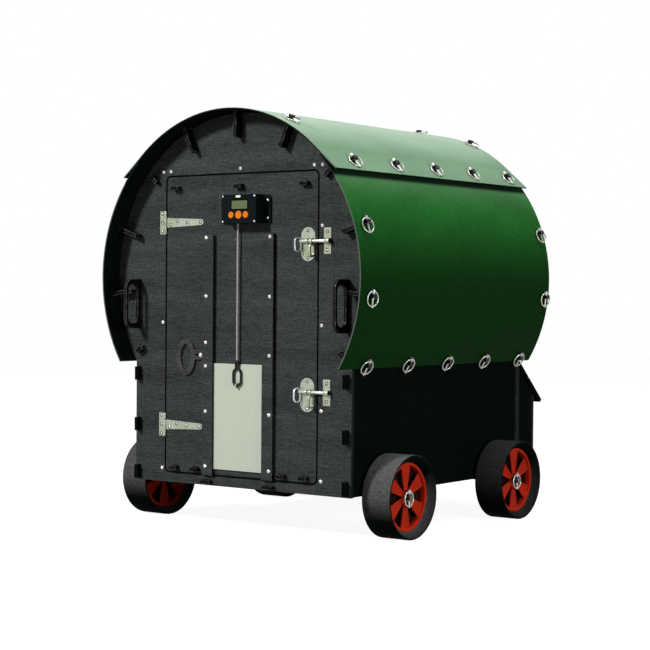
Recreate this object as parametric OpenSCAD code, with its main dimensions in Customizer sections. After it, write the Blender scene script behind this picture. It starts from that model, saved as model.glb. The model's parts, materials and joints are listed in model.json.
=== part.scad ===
// Bow-top mobile poultry house on four wheels, millimetres
// X to the viewer's right, Y to the back, Z up, origin on the ground under the middle

/* [Body] */
// Width of the front and rear boards
body_w = 840; // [760:1:900]
// Length over the front and rear boards
body_l = 955; // [800:1:1100]
// Thickness of the boards
board_t = 12; // [10:0.5:14]
// Height of the arch centre over the body's bottom edge
arch_h = 639; // [620:1:680]
// Distance from the boards' side edges in to the walls
wall_inset = 9; // [6:0.5:14]
// Gap under the floor, up from the bottom edge
floor_rise = 6; // [6:0.5:12]
// How far tenons stand out of the boards
tenon_out = 18; // [12:0.5:24]
// Height of the wall tenons
wall_tenon_h = 42; // [30:1:50]
// Width of the floor tenons
floor_tenon_w = 36; // [24:1:48]
// Distance from the middle to each floor tenon
floor_tenon_x = 122; // [90:1:160]

/* [Roof] */
// How far the side sheets bulge past the boards' side edges
roof_bulge = 77; // [65:0.5:80]
// Thickness of the roof sheets
sheet_t = 4; // [3:0.25:5]
// Roof overhang past the front board
roof_front = 73; // [60:1:90]
// Roof overhang past the rear board
roof_rear = 52; // [44:1:70]
// Angle of the side sheets' lower edges below the arch centre
side_low = 32; // [31.5:0.25:33]
// Angle of the side sheets' upper edges
side_high = 45; // [44.5:0.5:47]
// Angle of the ridge sheet's lower edges
ridge_low = 37; // [34:0.5:39]
// Angle below which the ridge sheet runs straight
ridge_bend = 47; // [46:0.5:50]
// How far the straight edges of the ridge sheet spring outwards, in degrees
ridge_kink = 2.5; // [1.5:0.25:4]
// Depth of the rib boards
rib_depth = 76; // [60:1:85]
// How far the rib boards stand out at each end
rib_out = 30; // [25:1:40]
// Depth of the lap boards
lap_depth = 56; // [48:1:60]
// First lap peg behind the front board's face
lap_first = 52; // [40:1:70]
// Last lap peg in front of the rear board's face
lap_last = 31; // [28:1:60]
// Length of a peg along the roof
peg_l = 18; // [14:0.5:20]

/* [Linch pins] */
// Radius of a linch pin
linch_r = 3; // [2.5:0.25:3.5]
// Middle radius of the ring
ring_r = 22; // [20:0.5:24]
// Radius of the ring's wire
ring_wire = 2.2; // [1.8:0.1:2.4]
// Height of a pin over the sheet
pin_lift = 8; // [7.5:0.5:10]
// Tilt of the ring
ring_tilt = 8; // [0:1:8]

/* [Main door] */
// Width of the door
door_w = 588; // [520:1:600]
// Height of the door's top edge over the arch centre
door_head = 311; // [275:1:315]
// Height of the door's bottom edge over the body's
door_rise = 34; // [30:1:40]
// Gap around the door
door_gap = 5; // [4:0.5:6]
// Corner radius of the door
door_r = 14; // [8:1:24]
// Width of the stop strips behind the door's edges
stop_w = 34; // [28:1:34]
// How far the stop strips lap behind the door
stop_lap = 10; // [6:1:14]
// Depth of the ledges behind the door
ledge_d = 40; // [30:1:60]

/* [Hinges and bolts] */
// Length of a hinge strap from its pin
strap_l = 153; // [140:1:156]
// Width of a strap at its pin
strap_root = 30; // [26:1:34]
// Height of a hinge flap
flap_h = 72; // [64:1:80]
// Width of a hinge flap from its pin
flap_w = 24; // [20:0.5:28]
// Thickness of the hinge and bolt plates
plate_metal = 2.5; // [2:0.25:3]
// Radius of a hinge knuckle
knuckle_r = 4; // [3.75:0.25:4.5]
// Radius of a hinge pin
hinge_pin_r = 2; // [1.5:0.25:2.25]
// Radius of a bolt rod
rod_r = 5; // [4:0.25:5.5]
// Length of a bolt rod
rod_l = 92; // [90:1:96]
// Width of a bolt plate
bolt_plate_w = 51; // [49:1:54]
// Height of a bolt plate
bolt_plate_h = 100; // [90:1:110]
// Width of a bolt keep's arch
keep_arch = 17; // [12:0.5:20]

/* [Pop door] */
// Width of the pop plate
pop_w = 224; // [200:1:240]
// Height of the pop plate
pop_h = 324; // [300:1:330]
// Thickness of the pop plate
pop_t = 4; // [3:0.5:4.5]
// Height of the plate's bottom edge over the body's
pop_rise = 52; // [48:1:56]
// How far the plate runs behind each rail
pop_lap = 16; // [12:0.5:20]
// Play between the plate and its rails
pop_play = 1; // [0.5:0.25:1.5]
// Overlap of the plate round the hole
hole_lap = 12; // [8:1:16]
// Width of the rails
rail_w = 42; // [38:0.5:46]
// Thickness of the rails
rail_t = 11.5; // [11.5:0.5:16]
// Gap between the rails' upper ends and the opener
rail_gap = 30; // [15:1:35]
// Diameter of the lift cord
cord_d = 6; // [3:0.25:6]
// Length of the spring hook
hook_l = 80; // [70:1:86]
// Width of the spring hook
hook_w = 36; // [32:0.5:40]

/* [Slide lock] */
// Thickness of the lock
lock_t = 7; // [5:0.25:7.5]
// Height of the lock's stem
stem_h = 28; // [24:0.5:30]
// Length of the stem from the ring to its tip
stem_l = 66; // [60:0.5:68]
// Outer width of the finger ring
finger_w = 73; // [66:0.5:76]
// Outer height of the finger ring
finger_h = 111; // [100:0.5:120]
// Width of the finger ring's band
finger_band = 15; // [14:0.5:20]
// Travel of the lock
lock_travel = 20; // [16:0.5:22]

/* [Opener] */
// Width of the opener's case
opener_w = 132; // [120:1:140]
// Height of the opener's case
opener_h = 86; // [84:1:92]
// Distance from the door's top edge down to the middle of the opener
opener_drop = 107; // [100:1:115]
// Depth of the opener with its cover
opener_d = 45; // [40:0.5:50]
// Thickness of the opener's cover
cover_t = 6; // [5.5:0.25:8]
// Width of each side flange
flange_w = 26; // [22:0.5:28]
// Thickness of the flange
flange_t = 6; // [4:0.5:8]
// Radius of the middle button
mid_button_r = 12; // [10:0.25:13]
// Radius of the outer buttons
side_button_r = 10; // [8:0.25:11]
// How far the buttons stand out
button_out = 2.5; // [2:0.25:4]
// Travel of the buttons
button_travel = 1.5; // [1:0.25:1.5]

/* [Grab handles] */
// Reach of the handles in front of the board
handle_out = 70; // [60:1:72]
// Height of the handles
handle_h = 156; // [140:1:170]
// Thickness of the handles
handle_t = 10; // [8:0.5:12]
// Depth of the finger slot
slot_d = 43; // [36:0.5:46]
// Length of the finger slot
slot_l = 120; // [100:1:124]

/* [Wheels] */
// Radius of the tyres
wheel_r = 125; // [115:1:135]
// Width of the tyres
tyre_w = 100; // [94:1:106]
// Radius of the red wheel centres
hub_r = 102; // [94:0.5:104]
// Distance from the front face to the front axle
axle_front_y = 172; // [150:1:200]
// Distance from the rear face to the rear axle
axle_rear_y = 157; // [150:1:200]
// How far the axles lie below the body's bottom edge
axle_drop = 5; // [5:0.5:10]
// Radius of the axles
axle_r = 10; // [8:0.25:10]
// Gap between the walls and the tyres
tyre_gap = 12.5; // [5:0.5:20]

/* [Nest box] */
// Depth of the nest box behind the rear board
nest_d = 136; // [110:1:160]
// Height of the nest box's underside over the body's bottom edge
nest_rise = 66; // [50:1:80]
// Distance from the walls' upper edges down to the nest roof's top
nest_drop = 2; // [0:0.5:14]
// Slope of the nest roof
nest_slope = 42; // [38:0.5:44]
// Distance along Y from the rear board to the lid's hinge
nest_hinge_y = 91; // [80:1:96]
// Length of the lid down the slope
lid_l = 116; // [112:1:130]

/* [Hidden] */
$fn = 96;

// Play of a running pin or shaft, of a fixed fit and of moving flat faces
run_fit = 0.05;
snug = 0.2;
clear = 0.4;
// Room between a curved face and what it lies on
sheet_gap = 0.6;

// Colours
board_grey = "#3f4242";
dark_grey = "#26282a";
roof_green = "#1f5c2c";
zinc = "#c8c6b4";
black = "#17181a";
red = "#c23018";
pale = "#c9cec0";
orange = "#ff8c1a";

// Places of the body on the ground
wall_x = body_w / 2 - wall_inset - board_t / 2;
nest_knuckle_r = 6;
lid_sink = nest_knuckle_r + 0.5;
nest_reach = body_l + nest_hinge_y + lid_l * cos(nest_slope) - lid_sink * sin(nest_slope);
front_y = (roof_front - nest_reach) / 2;
body_z = wheel_r + axle_drop;

// Roof radii and angles
roof_r = body_w / 2 + roof_bulge;
arch_r = roof_r - sheet_gap;
ridge_r = roof_r + sheet_t + snug;
roof_l = roof_front + body_l + roof_rear;
rib_high = 66;
rib_mid = 18;
rib_low = -6;
rib_angles = [rib_high, rib_mid, rib_low];
lap_high = 42;
lap_low = -30;
lap_angles = [lap_high, lap_low];
lap_count = 5;
lap_step = (body_l - lap_first - lap_last) / (lap_count - 1);
rib_peg_y = [peg_l / 2 - rib_out + 1, body_l + rib_out - peg_l / 2 - 1];
lap_tenon_l = 30;
wall_top = arch_h + (wall_x + board_t / 2) * tan(lap_low) - board_t / 2 / cos(lap_low) - clear;
wall_tenon_low = 26;
wall_tenon_high = wall_top - 58.4;
wall_tenon_z = [wall_tenon_low, wall_tenon_low + 0.484 * (wall_tenon_high - wall_tenon_low), wall_tenon_high];

function skin_r(a) =
  a >= ridge_bend ? ridge_r + sheet_t
  : a >= ridge_low ? (ridge_r + sheet_t) / (cos(ridge_bend - a) - sin(ridge_bend - a) * tan(ridge_kink))
  : roof_r + sheet_t;
function pin_at(a) = skin_r(a) + pin_lift;
function lap_y(i) = lap_first + i * lap_step;
function under_ridge(a) = a > side_high;
function rib_outer(a) = under_ridge(a) ? ridge_r - sheet_gap : arch_r;

// Linch pin proportions
head_r = 5.5;
head_l = 10;
pin_over = 8;
peg_over = 9;
ring_drop = ring_r - pin_over - head_l / 2;
pin_tail = ring_r + ring_drop + ring_wire + 1;

// Door, its hinge axis and the heights of what it carries
door_top = arch_h + door_head;
door_h = door_top - door_rise;
door_mid = door_rise + door_h / 2;
hinge_x = -door_w / 2 - door_gap / 2;
hinge_foot = 145;
hinge_head = 141.5;
hinge_z = [door_rise + hinge_foot, door_top - hinge_head];
bolt_foot = 268;
bolt_head = 205;
bolt_z = [door_rise + bolt_foot, door_top - bolt_head];
opener_z = door_top - opener_drop;
rail_top = opener_z - opener_h / 2 - rail_gap;
strap_tip_r = 9;
strap_screws = [[0.13, -7], [0.32, 4], [0.57, 0], [0.92, 0]];
screw_r = 6;
screw_h = 4;
small_screw_r = 3;
small_screw_h = 1.6;

// Panel screws, above, beside and below the door
stop_x = door_w / 2 - stop_lap;
panel_screw_x = stop_x + stop_w - 8;
top_screw_z = door_top - stop_lap + stop_w - 6.5;
bolt_screw_gap = [54, 45];
side_screw_z = [door_rise + 8, bolt_z[0] - bolt_screw_gap[0], door_mid + 6];
right_screw_z = bolt_z[1] + bolt_screw_gap[1];
top_screw_x = [-panel_screw_x, -panel_screw_x + 30, 0, panel_screw_x - 30, panel_screw_x];

// Ledges behind the door with tenons through it
ledge_top_z = door_top - 36;
ledge_bottom_z = door_rise + 13;
ledge_w = 2 * stop_x - 30;
ledge_tenon_w = 28;
ledge_tenon_out = 18;
top_tenon_inset = 34;
bottom_tenon_inset = 31;
top_tenon_x = [-stop_x + top_tenon_inset, 0, stop_x - top_tenon_inset];

// Pop door, rails and cord
rail_in = pop_w / 2 - pop_lap;
rail_low = door_rise - 2;
groove = pop_t + 2 * pop_play;
pop_top = pop_rise + pop_h;
hole_w = 2 * (rail_in - 2 * pop_play) - hole_lap;
hole_z = pop_rise + hole_lap;
hole_h = pop_h - 2 * hole_lap;
bottom_tenon_in = rail_in + rail_w + bottom_tenon_inset;
bottom_tenon_x = [-stop_x + bottom_tenon_inset, -bottom_tenon_in, bottom_tenon_in, stop_x - bottom_tenon_inset];
rail_screw_x = rail_in + rail_w - 13.6;
rail_screw_low = rail_low + 28;
rail_screw_high = rail_top - 10;
function rail_screw_z(share) = rail_screw_low + share * (rail_screw_high - rail_screw_low);
rail_screws_right = [for (share = [0, 0.24, 0.492, 0.744, 1]) rail_screw_z(share)];
hook_wire = 6;
hook_y = -(pop_play + pop_t + 2 + hook_wire / 2);
hook_top = pop_top + 12;
eye_r = 7;
loop_l = hook_l - 24;

// Slide lock above the plate's top edge
lock_z = pop_top + 10 + stem_h / 2;
lock_screw_gap = [33, 39];
rail_screws_left = concat([lock_z - lock_screw_gap[0], lock_z + lock_screw_gap[1]],
                          [for (share = [0, 0.24, 0.744, 1]) rail_screw_z(share)]);
stem_tip = -pop_w / 2 - 1.5 * pop_play;
lock_ring_x = stem_tip - stem_l - finger_w / 2 + finger_band / 2;
guide_r = 3;
guide_x = -rail_in - rail_w - 9;
guide_head_r = 7;

// Opener on the door
opener_x = 30;
face_y = -opener_d;
display_w = 60;
display_h = 25;
display_at = [3, 12.5];
button_z = -18;
button_x = [-28, 1, 28];
cover_screw = [opener_w / 2 - 5, opener_h / 2 - 5];
flange_screw = [opener_w / 2 + flange_w - 11, 26.5];

// Bolts, from the door's right edge
bolt_y = -(plate_metal + rod_r + 1.5);
bolt_inset = 8;
keep_x = door_w / 2 + door_gap + 19;
keep_w = 26;
keep_foot = 30;
rod_tip = keep_x + keep_w - keep_arch - 1;
bolt_plate_x = door_w / 2 - bolt_inset - bolt_plate_w / 2;
collar_w = 8;
collar_x = [bolt_plate_x + 2, bolt_plate_x + 17];
loop_w = 27;
loop_h = 46;
loop_t = 5;
loop_band = 5.5;
staple_x = collar_x[1] + 2;
staple_w = 24;
staple_h = 42;

// Handles through the front board
handle_x = wall_x;
handle_drop = 84;
handle_z = arch_h - handle_drop;
handle_tenon_h = 34;

// Wheels
tyre_in = body_w / 2 - wall_inset + tyre_gap;
wheel_x = tyre_in + tyre_w / 2;
rim_recess = 22;
rim_w = tyre_w - 2 * rim_recess;
rim_t = 9;
tyre_flare = 17.4;
tyre_shoulder = 4;
spoke_count = 6;
spoke_t = 6;
spoke_face = rim_w / 2 - 6.5;
spoke_root = 4;
spoke_end = 24;
web_t = 4;
boss_r = 16;
boss_out = spoke_face + 1.5;
washer_t = 3;
washer_r = axle_r + 5;
axle_pin_x = wheel_x + boss_out + washer_t + ring_wire + 5;
axle_end = axle_pin_x + 9;
lug_r = 24;

// Nest box
lid_t = 12;
nest_pin_r = 3;
nest_knuckle_x = 250;
nest_knuckle_l = 60;
nest_lug_l = 20;
nest_lug_gap = 1;
nest_lug_root = 2;
nest_hole_side = 40;
nest_top_h = wall_top - nest_drop;
nest_w = 2 * (wall_x - board_t / 2);
lid_w = nest_w + 2 * wall_inset;
nest_hz = nest_top_h - nest_hinge_y * tan(nest_slope) + lid_sink / cos(nest_slope);
nest_under = -lid_sink - lid_t - clear;
function nest_line(y, v) = nest_hz - (y - body_l - nest_hinge_y) * tan(nest_slope) + v / cos(nest_slope);

// Helpers
module in_body() {
  translate([0, front_y, body_z]) children();
}
module upright(y, t) {
  translate([0, y + t, 0]) rotate([90, 0, 0]) linear_extrude(t) children();
}
module sideways(x, t) {
  translate([x, 0, 0]) rotate([90, 0, 90]) linear_extrude(t) children();
}
module both_sides() {
  children();
  mirror([1, 0, 0]) children();
}
module box(x, y, z) {
  translate([x[0], y[0], z[0]]) cube([x[1] - x[0], y[1] - y[0], z[1] - z[0]]);
}
module rod_y(r, y, l) {
  translate([0, y, 0]) rotate([-90, 0, 0]) cylinder(r = r, h = l);
}
module rod_x(r, x, l) {
  translate([x, 0, 0]) rotate([0, 90, 0]) cylinder(r = r, h = l);
}
module round_rect(w, h, r) {
  square([w - 2 * r, h], center = true);
  square([w, h - 2 * r], center = true);
  for (sx = [-1, 1], sy = [-1, 1])
    translate([sx * (w / 2 - r), sy * (h / 2 - r)]) circle(r);
}
module stadium(w, h) {
  square([w, h - w], center = true);
  for (s = [-1, 1]) translate([0, s * (h - w) / 2]) circle(w / 2);
}
module dome(r, h) {
  ball = (r * r + h * h) / (2 * h);
  intersection() {
    translate([0, 0, h - ball]) sphere(ball);
    cylinder(r = r + 1, h = h + 1);
  }
}
module front_dome(r, h, x, y, z) {
  translate([x, y, z]) rotate([90, 0, 0]) dome(r, h);
}
// Turns children so that x is outward at angle a of the arch and z follows the arch
module at_angle(a) {
  translate([0, 0, arch_h]) rotate([0, -a, 0]) children();
}

// Boards and their tenons
module wall_tenons(grow, y0, y1) {
  for (z = wall_tenon_z)
    box([wall_x - board_t / 2 - grow, wall_x + board_t / 2 + grow], [y0, y1],
        [z - wall_tenon_h / 2 - grow, z + wall_tenon_h / 2 + grow]);
}
module floor_tenons(grow, y0, y1) {
  for (s = [-1, 1])
    box([s * floor_tenon_x - floor_tenon_w / 2 - grow, s * floor_tenon_x + floor_tenon_w / 2 + grow],
        [y0, y1], [floor_rise - grow, floor_rise + board_t + grow]);
}
module lap_tenons(grow, y0, y1) {
  for (a = lap_angles)
    at_angle(a)
      box([arch_r - lap_depth - grow, arch_r - lap_depth + lap_tenon_l + grow], [y0, y1],
          [-board_t / 2 - grow, board_t / 2 + grow]);
}
module rib_slots(y0, y1) {
  for (a = concat(rib_angles, [90]))
    at_angle(a)
      box([arch_r - rib_depth - snug, arch_r + 10], [y0, y1], [-board_t / 2 - snug, board_t / 2 + snug]);
}
module handle_tenons(grow, y1) {
  for (s = [-1, 1])
    translate([0, 0, handle_z + s * (handle_h - handle_tenon_h) / 2])
      box([handle_x - handle_t / 2 - grow, handle_x + handle_t / 2 + grow], [-grow, y1],
          [-handle_tenon_h / 2 + 4 - grow, handle_tenon_h / 2 - 4 + grow]);
}
module end_board(y) {
  difference() {
    union() {
      translate([0, 0, arch_h]) rod_y(arch_r, y, board_t);
      box([-body_w / 2, body_w / 2], [y, y + board_t], [0, arch_h]);
    }
    both_sides() {
      wall_tenons(snug, y - 1, y + board_t + 1);
      lap_tenons(snug, y - 1, y + board_t + 1);
      rib_slots(y - 1, y + board_t + 1);
    }
    floor_tenons(snug, y - 1, y + board_t + 1);
  }
}

module front_panel() {
  color(board_grey) in_body() difference() {
    end_board(0);
    translate([0, 0, door_mid]) upright(-1, board_t + 2)
      round_rect(door_w + 2 * door_gap, door_h + 2 * door_gap, door_r + door_gap);
    both_sides() handle_tenons(snug, board_t + 1);
  }
}
module rear_panel() {
  nest_hole_low = nest_rise + board_t + 12;
  nest_hole_high = nest_line(body_l, nest_under) - 30;
  color(board_grey) in_body() difference() {
    end_board(body_l - board_t);
    box([-nest_w / 2 + nest_hole_side, nest_w / 2 - nest_hole_side], [body_l - board_t - 1, body_l + 1],
        [nest_hole_low, nest_hole_high]);
  }
}
module side_wall() {
  difference() {
    union() {
      box([wall_x - board_t / 2, wall_x + board_t / 2], [board_t, body_l - board_t], [0, wall_top]);
      wall_tenons(0, -tenon_out, board_t);
      wall_tenons(0, body_l - board_t, body_l + tenon_out);
      for (y = [axle_front_y, body_l - axle_rear_y])
        translate([0, y, -axle_drop]) rod_x(lug_r, wall_x - board_t / 2, board_t);
    }
    for (y = [axle_front_y, body_l - axle_rear_y])
      translate([0, y, -axle_drop]) rod_x(axle_r + run_fit, wall_x - board_t, 2 * board_t);
  }
}
module wall_left() {
  color(dark_grey) in_body() mirror([1, 0, 0]) side_wall();
}
module wall_right() {
  color(dark_grey) in_body() side_wall();
}
module floor_panel() {
  half = wall_x - board_t / 2;
  color(board_grey) in_body() {
    box([-half, half], [board_t, body_l - board_t], [floor_rise, floor_rise + board_t]);
    floor_tenons(0, -tenon_out, board_t);
    floor_tenons(0, body_l - board_t, body_l + tenon_out);
  }
}

// Pegs stand out through the roof sheets and take the linch pins
module peg(a, y) {
  pin_x = pin_at(a);
  difference() {
    box([rib_outer(a) - 1, pin_x + peg_over], [y - peg_l / 2, y + peg_l / 2], [-board_t / 2, board_t / 2]);
    translate([pin_x, y, -board_t]) cylinder(r = linch_r + clear, h = 2 * board_t);
  }
}
module peg_slot(a, y) {
  at_angle(a)
    box([arch_r, pin_at(a)], [y - peg_l / 2 - clear, y + peg_l / 2 + clear],
        [-board_t / 2 - clear, board_t / 2 + clear]);
}
module rib_board(a, pegs) {
  at_angle(a) {
    box([arch_r - rib_depth, rib_outer(a)], [-rib_out, body_l + rib_out], [-board_t / 2, board_t / 2]);
    for (y = pegs) peg(a, y);
  }
}
module rib_boards() {
  color(black) in_body() {
    both_sides() for (a = rib_angles) rib_board(a, rib_peg_y);
    rib_board(90, [rib_peg_y[1]]);
  }
}
module lap_boards() {
  color(black) in_body() both_sides() {
    for (a = lap_angles)
      at_angle(a) {
        box([arch_r - lap_depth, arch_r], [board_t + snug, body_l - board_t - snug],
            [-board_t / 2, board_t / 2]);
        for (i = [0 : lap_count - 1]) peg(a, lap_y(i));
      }
    lap_tenons(0, -tenon_out, board_t + snug);
    lap_tenons(0, body_l - board_t - snug, body_l + tenon_out);
  }
}

// Roof sheets
module arc_sheet(r, low, high, spare = 0) {
  translate([0, body_l + roof_rear + spare, arch_h]) rotate([90, 0, 0]) rotate([0, 0, low])
    rotate_extrude(angle = high - low) translate([r, 0]) square([sheet_t, roof_l + 2 * spare]);
}
module side_sheet() {
  difference() {
    arc_sheet(roof_r, -side_low, side_high);
    for (a = lap_angles, i = [0 : lap_count - 1]) peg_slot(a, lap_y(i));
    for (a = [rib_mid, rib_low], y = rib_peg_y) peg_slot(a, y);
  }
}
module roof_right() {
  color(roof_green) in_body() side_sheet();
}
module roof_left() {
  color(roof_green) in_body() mirror([1, 0, 0]) side_sheet();
}
module roof_ridge() {
  flap_l = (ridge_r + sheet_t) * tan(ridge_bend - ridge_low);
  color(roof_green) in_body() difference() {
    intersection() {
      union() {
        arc_sheet(ridge_r, ridge_bend, 180 - ridge_bend, sheet_t);
        both_sides() at_angle(ridge_bend) translate([ridge_r + sheet_t / 2, 0, 0]) rotate([0, -ridge_kink, 0])
          box([-sheet_t / 2, sheet_t / 2], [-roof_front - sheet_t, body_l + roof_rear + sheet_t],
              [-flap_l, sheet_t]);
      }
      box([-ridge_r, ridge_r], [-roof_front, body_l + roof_rear], [arch_h, arch_h + 2 * ridge_r]);
    }
    both_sides() {
      for (i = [0 : lap_count - 1]) peg_slot(lap_high, lap_y(i));
      for (y = rib_peg_y) peg_slot(rib_high, y);
    }
    peg_slot(90, rib_peg_y[1]);
  }
}

// Linch pin along z, with its ring round the peg
module linch_pin() {
  translate([0, 0, -pin_tail]) cylinder(r = linch_r, h = pin_tail + pin_over + 1);
  translate([0, 0, pin_over]) cylinder(r = head_r, h = head_l);
  translate([0, 0, -ring_drop]) rotate([0, 0, -ring_tilt]) rotate([0, 90, 0])
    rotate_extrude() translate([ring_r, 0]) circle(ring_wire, $fn = 24);
}
module roof_pin(a, y) {
  at_angle(a) translate([pin_at(a), y, 0]) linch_pin();
}
module roof_linch_pins() {
  color(zinc) in_body() {
    both_sides() {
      for (a = lap_angles, i = [0 : lap_count - 1]) roof_pin(a, lap_y(i));
      for (a = rib_angles, y = rib_peg_y) roof_pin(a, y);
    }
    roof_pin(90, rib_peg_y[1]);
  }
}

// Grab handles
module grab_handle() {
  nose = 16;
  back = handle_out - slot_d - 10;
  difference() {
    union() {
      sideways(handle_x - handle_t / 2, handle_t) translate([-handle_out / 2, handle_z]) {
        translate([nose / 2, 0]) square([handle_out - nose, handle_h], center = true);
        square([handle_out, handle_h - 2 * nose], center = true);
        for (s = [-1, 1]) translate([nose - handle_out / 2, s * (handle_h / 2 - nose)]) circle(nose);
      }
      handle_tenons(0, board_t);
    }
    sideways(handle_x - handle_t, 2 * handle_t)
      translate([-back - slot_d / 2, handle_z]) round_rect(slot_d, slot_l, slot_d / 2 - 4);
  }
}
module handle_left() {
  color(black) in_body() mirror([1, 0, 0]) grab_handle();
}
module handle_right() {
  color(black) in_body() grab_handle();
}

// Main door
module door_stop() {
  inner_low = door_rise + stop_lap / 2;
  low = floor_rise + board_t + clear;
  high = door_top - stop_lap + stop_w;
  y = [board_t + clear, 2 * board_t + clear];
  color(board_grey) in_body() difference() {
    box([-stop_x - stop_w, stop_x + stop_w], y, [low, high]);
    box([-stop_x, stop_x], [y[0] - 1, y[1] + 1], [inner_low, door_top - stop_lap]);
  }
}
module ledge(z, xs) {
  box([-ledge_w / 2, ledge_w / 2], [board_t, board_t + ledge_d], [z - board_t / 2, z + board_t / 2]);
  ledge_tenons(z, xs, 0, -ledge_tenon_out);
}
module ledge_tenons(z, xs, grow, y0) {
  for (x = xs)
    box([x - ledge_tenon_w / 2 - grow, x + ledge_tenon_w / 2 + grow], [y0, board_t + grow],
        [z - board_t / 2 - grow, z + board_t / 2 + grow]);
}
module ledge_top() {
  color(black) in_body() ledge(ledge_top_z, top_tenon_x);
}
module ledge_bottom() {
  color(black) in_body() ledge(ledge_bottom_z, bottom_tenon_x);
}
module door_panel() {
  color(board_grey) in_body() difference() {
    translate([0, 0, door_mid]) upright(0, board_t) round_rect(door_w, door_h, door_r);
    box([-hole_w / 2, hole_w / 2], [-1, board_t + 1], [hole_z, hole_z + hole_h]);
    ledge_tenons(ledge_top_z, top_tenon_x, snug, -1);
    ledge_tenons(ledge_bottom_z, bottom_tenon_x, snug, -1);
  }
}

// Rails with a groove for the pop plate
module rail() {
  difference() {
    box([rail_in, rail_in + rail_w], [-rail_t, 0], [rail_low, rail_top]);
    box([rail_in - 1, rail_in + pop_lap + 2 * pop_play], [-groove, 1], [pop_rise, rail_top + 1]);
  }
}
module rail_right() {
  color(board_grey) in_body() rail();
}
module rail_left() {
  color(board_grey) in_body() difference() {
    mirror([1, 0, 0]) rail();
    box([-rail_in - rail_w - 1, -rail_in + 1], [-lock_t - 2 * clear, 1],
        [lock_z - stem_h / 2 - clear, lock_z + stem_h / 2 + clear]);
  }
}
module pop_plate() {
  color(pale) in_body()
    box([-pop_w / 2, pop_w / 2], [-pop_play - pop_t, -pop_play], [pop_rise + snug, pop_top]);
}

// Spring hook, its gate and the eye that ties it to the plate
loop_z = hook_top - hook_l + loop_l / 2;
module hook_gap(grow) {
  box([hook_w / 2 - hook_wire - 2, hook_w / 2 + 2], [hook_y - hook_wire, hook_y + hook_wire],
      [loop_z - loop_l / 4 - grow, loop_z + loop_l / 4 + grow]);
}
module spring_hook() {
  neck = hook_top - loop_z - loop_l / 2;
  color(black) in_body() difference() {
    upright(hook_y - hook_wire / 2, hook_wire) {
      translate([0, loop_z]) difference() {
        stadium(hook_w, loop_l);
        stadium(hook_w - 2 * hook_wire, loop_l - 2 * hook_wire);
      }
      difference() {
        polygon([[-hook_w / 2 + 4, loop_z + loop_l / 2 - 14], [hook_w / 2 - 4, loop_z + loop_l / 2 - 14],
                 [eye_r, hook_top - eye_r], [-eye_r, hook_top - eye_r]]);
        translate([0, loop_z]) stadium(hook_w - 2 * hook_wire, loop_l - 2 * hook_wire);
        translate([0, hook_top - neck / 2 - eye_r / 2]) circle(eye_r / 2);
      }
      translate([0, hook_top - eye_r]) circle(eye_r);
    }
    hook_gap(clear);
  }
}
module hook_gate() {
  half = hook_wire / 2;
  low = loop_z - loop_l / 4 + half;
  color(dark_grey) in_body() translate([hook_w / 2 - half, hook_y, 0]) {
    box([-half, half], [-half, half], [low, loop_z + loop_l / 4]);
    translate([0, 0, low]) rod_y(half, -half, hook_wire);
  }
}
module plate_eye() {
  wire = 2;
  middle = eye_r;
  z = loop_z - loop_l / 2 + hook_wire / 2;
  color(zinc) in_body() intersection() {
    translate([0, hook_y, z]) rotate([0, 90, 0])
      rotate_extrude() translate([middle, 0]) circle(wire, $fn = 24);
    box([-middle, middle], [hook_y - 2 * middle, -pop_play - pop_t], [z - 2 * middle, z + 2 * middle]);
  }
}
module lift_cord() {
  color("gainsboro") in_body()
    translate([0, hook_y, hook_top]) cylinder(d = cord_d, h = opener_z - opener_h / 2 - hook_top);
}

// Slide lock with a finger ring and a slotted stem
module slide_lock() {
  color(board_grey) in_body() upright(-lock_t - clear, lock_t) difference() {
    union() {
      translate([lock_ring_x, lock_z - 8]) difference() {
        stadium(finger_w, finger_h);
        stadium(finger_w - 2 * finger_band, finger_h - 2 * finger_band);
      }
      translate([stem_tip - stem_l / 2, lock_z]) square([stem_l, stem_h], center = true);
    }
    translate([guide_x - lock_travel / 2, lock_z])
      rotate(90) stadium(2 * guide_r + 2 * clear, lock_travel + 2 * guide_r + 2 * clear);
  }
}

// Opener
module opener_case() {
  chamfer = 9;
  w = opener_w / 2 + flange_w;
  h = opener_h / 2;
  color(dark_grey) in_body() translate([opener_x, 0, opener_z]) {
    upright(-flange_t, flange_t)
      polygon([[-w, -h], [w, -h], [w, h - chamfer], [w - chamfer, h], [-w + chamfer, h], [-w, h - chamfer]]);
    box([-opener_w / 2, opener_w / 2], [face_y + cover_t, -flange_t], [-h, h]);
  }
}
module opener_cover() {
  color("#33383d") in_body() translate([opener_x, 0, opener_z]) difference() {
    upright(face_y, cover_t) round_rect(opener_w, opener_h, 4);
    for (i = [0 : 2])
      translate([button_x[i], 0, button_z]) rod_y(button_radius(i) + clear, face_y - 1, cover_t + 2);
    translate([display_at[0], 0, display_at[1]])
      box([-display_w / 2, display_w / 2], [face_y - 1, face_y + 2], [-display_h / 2, display_h / 2]);
  }
}
module opener_display() {
  color("#98a36c") in_body() translate([opener_x + display_at[0], 0, opener_z + display_at[1]])
    box([-display_w / 2 + snug, display_w / 2 - snug], [face_y + 1, face_y + 2],
        [-display_h / 2 + snug, display_h / 2 - snug]);
}
module opener_sensor() {
  color(zinc) in_body() translate([opener_x, 0, opener_z + opener_h / 2 - 6])
    upright(face_y - 2, 2) rotate(90) stadium(6, 19);
}
function button_radius(i) = i == 1 ? mid_button_r : side_button_r;
module button(i) {
  color(orange) in_body() translate([opener_x + button_x[i], 0, opener_z + button_z])
    rod_y(button_radius(i), face_y - button_out, button_out + cover_t - button_travel - snug);
}
module button_left() {
  button(0);
}
module button_middle() {
  button(1);
}
module button_right() {
  button(2);
}

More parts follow.
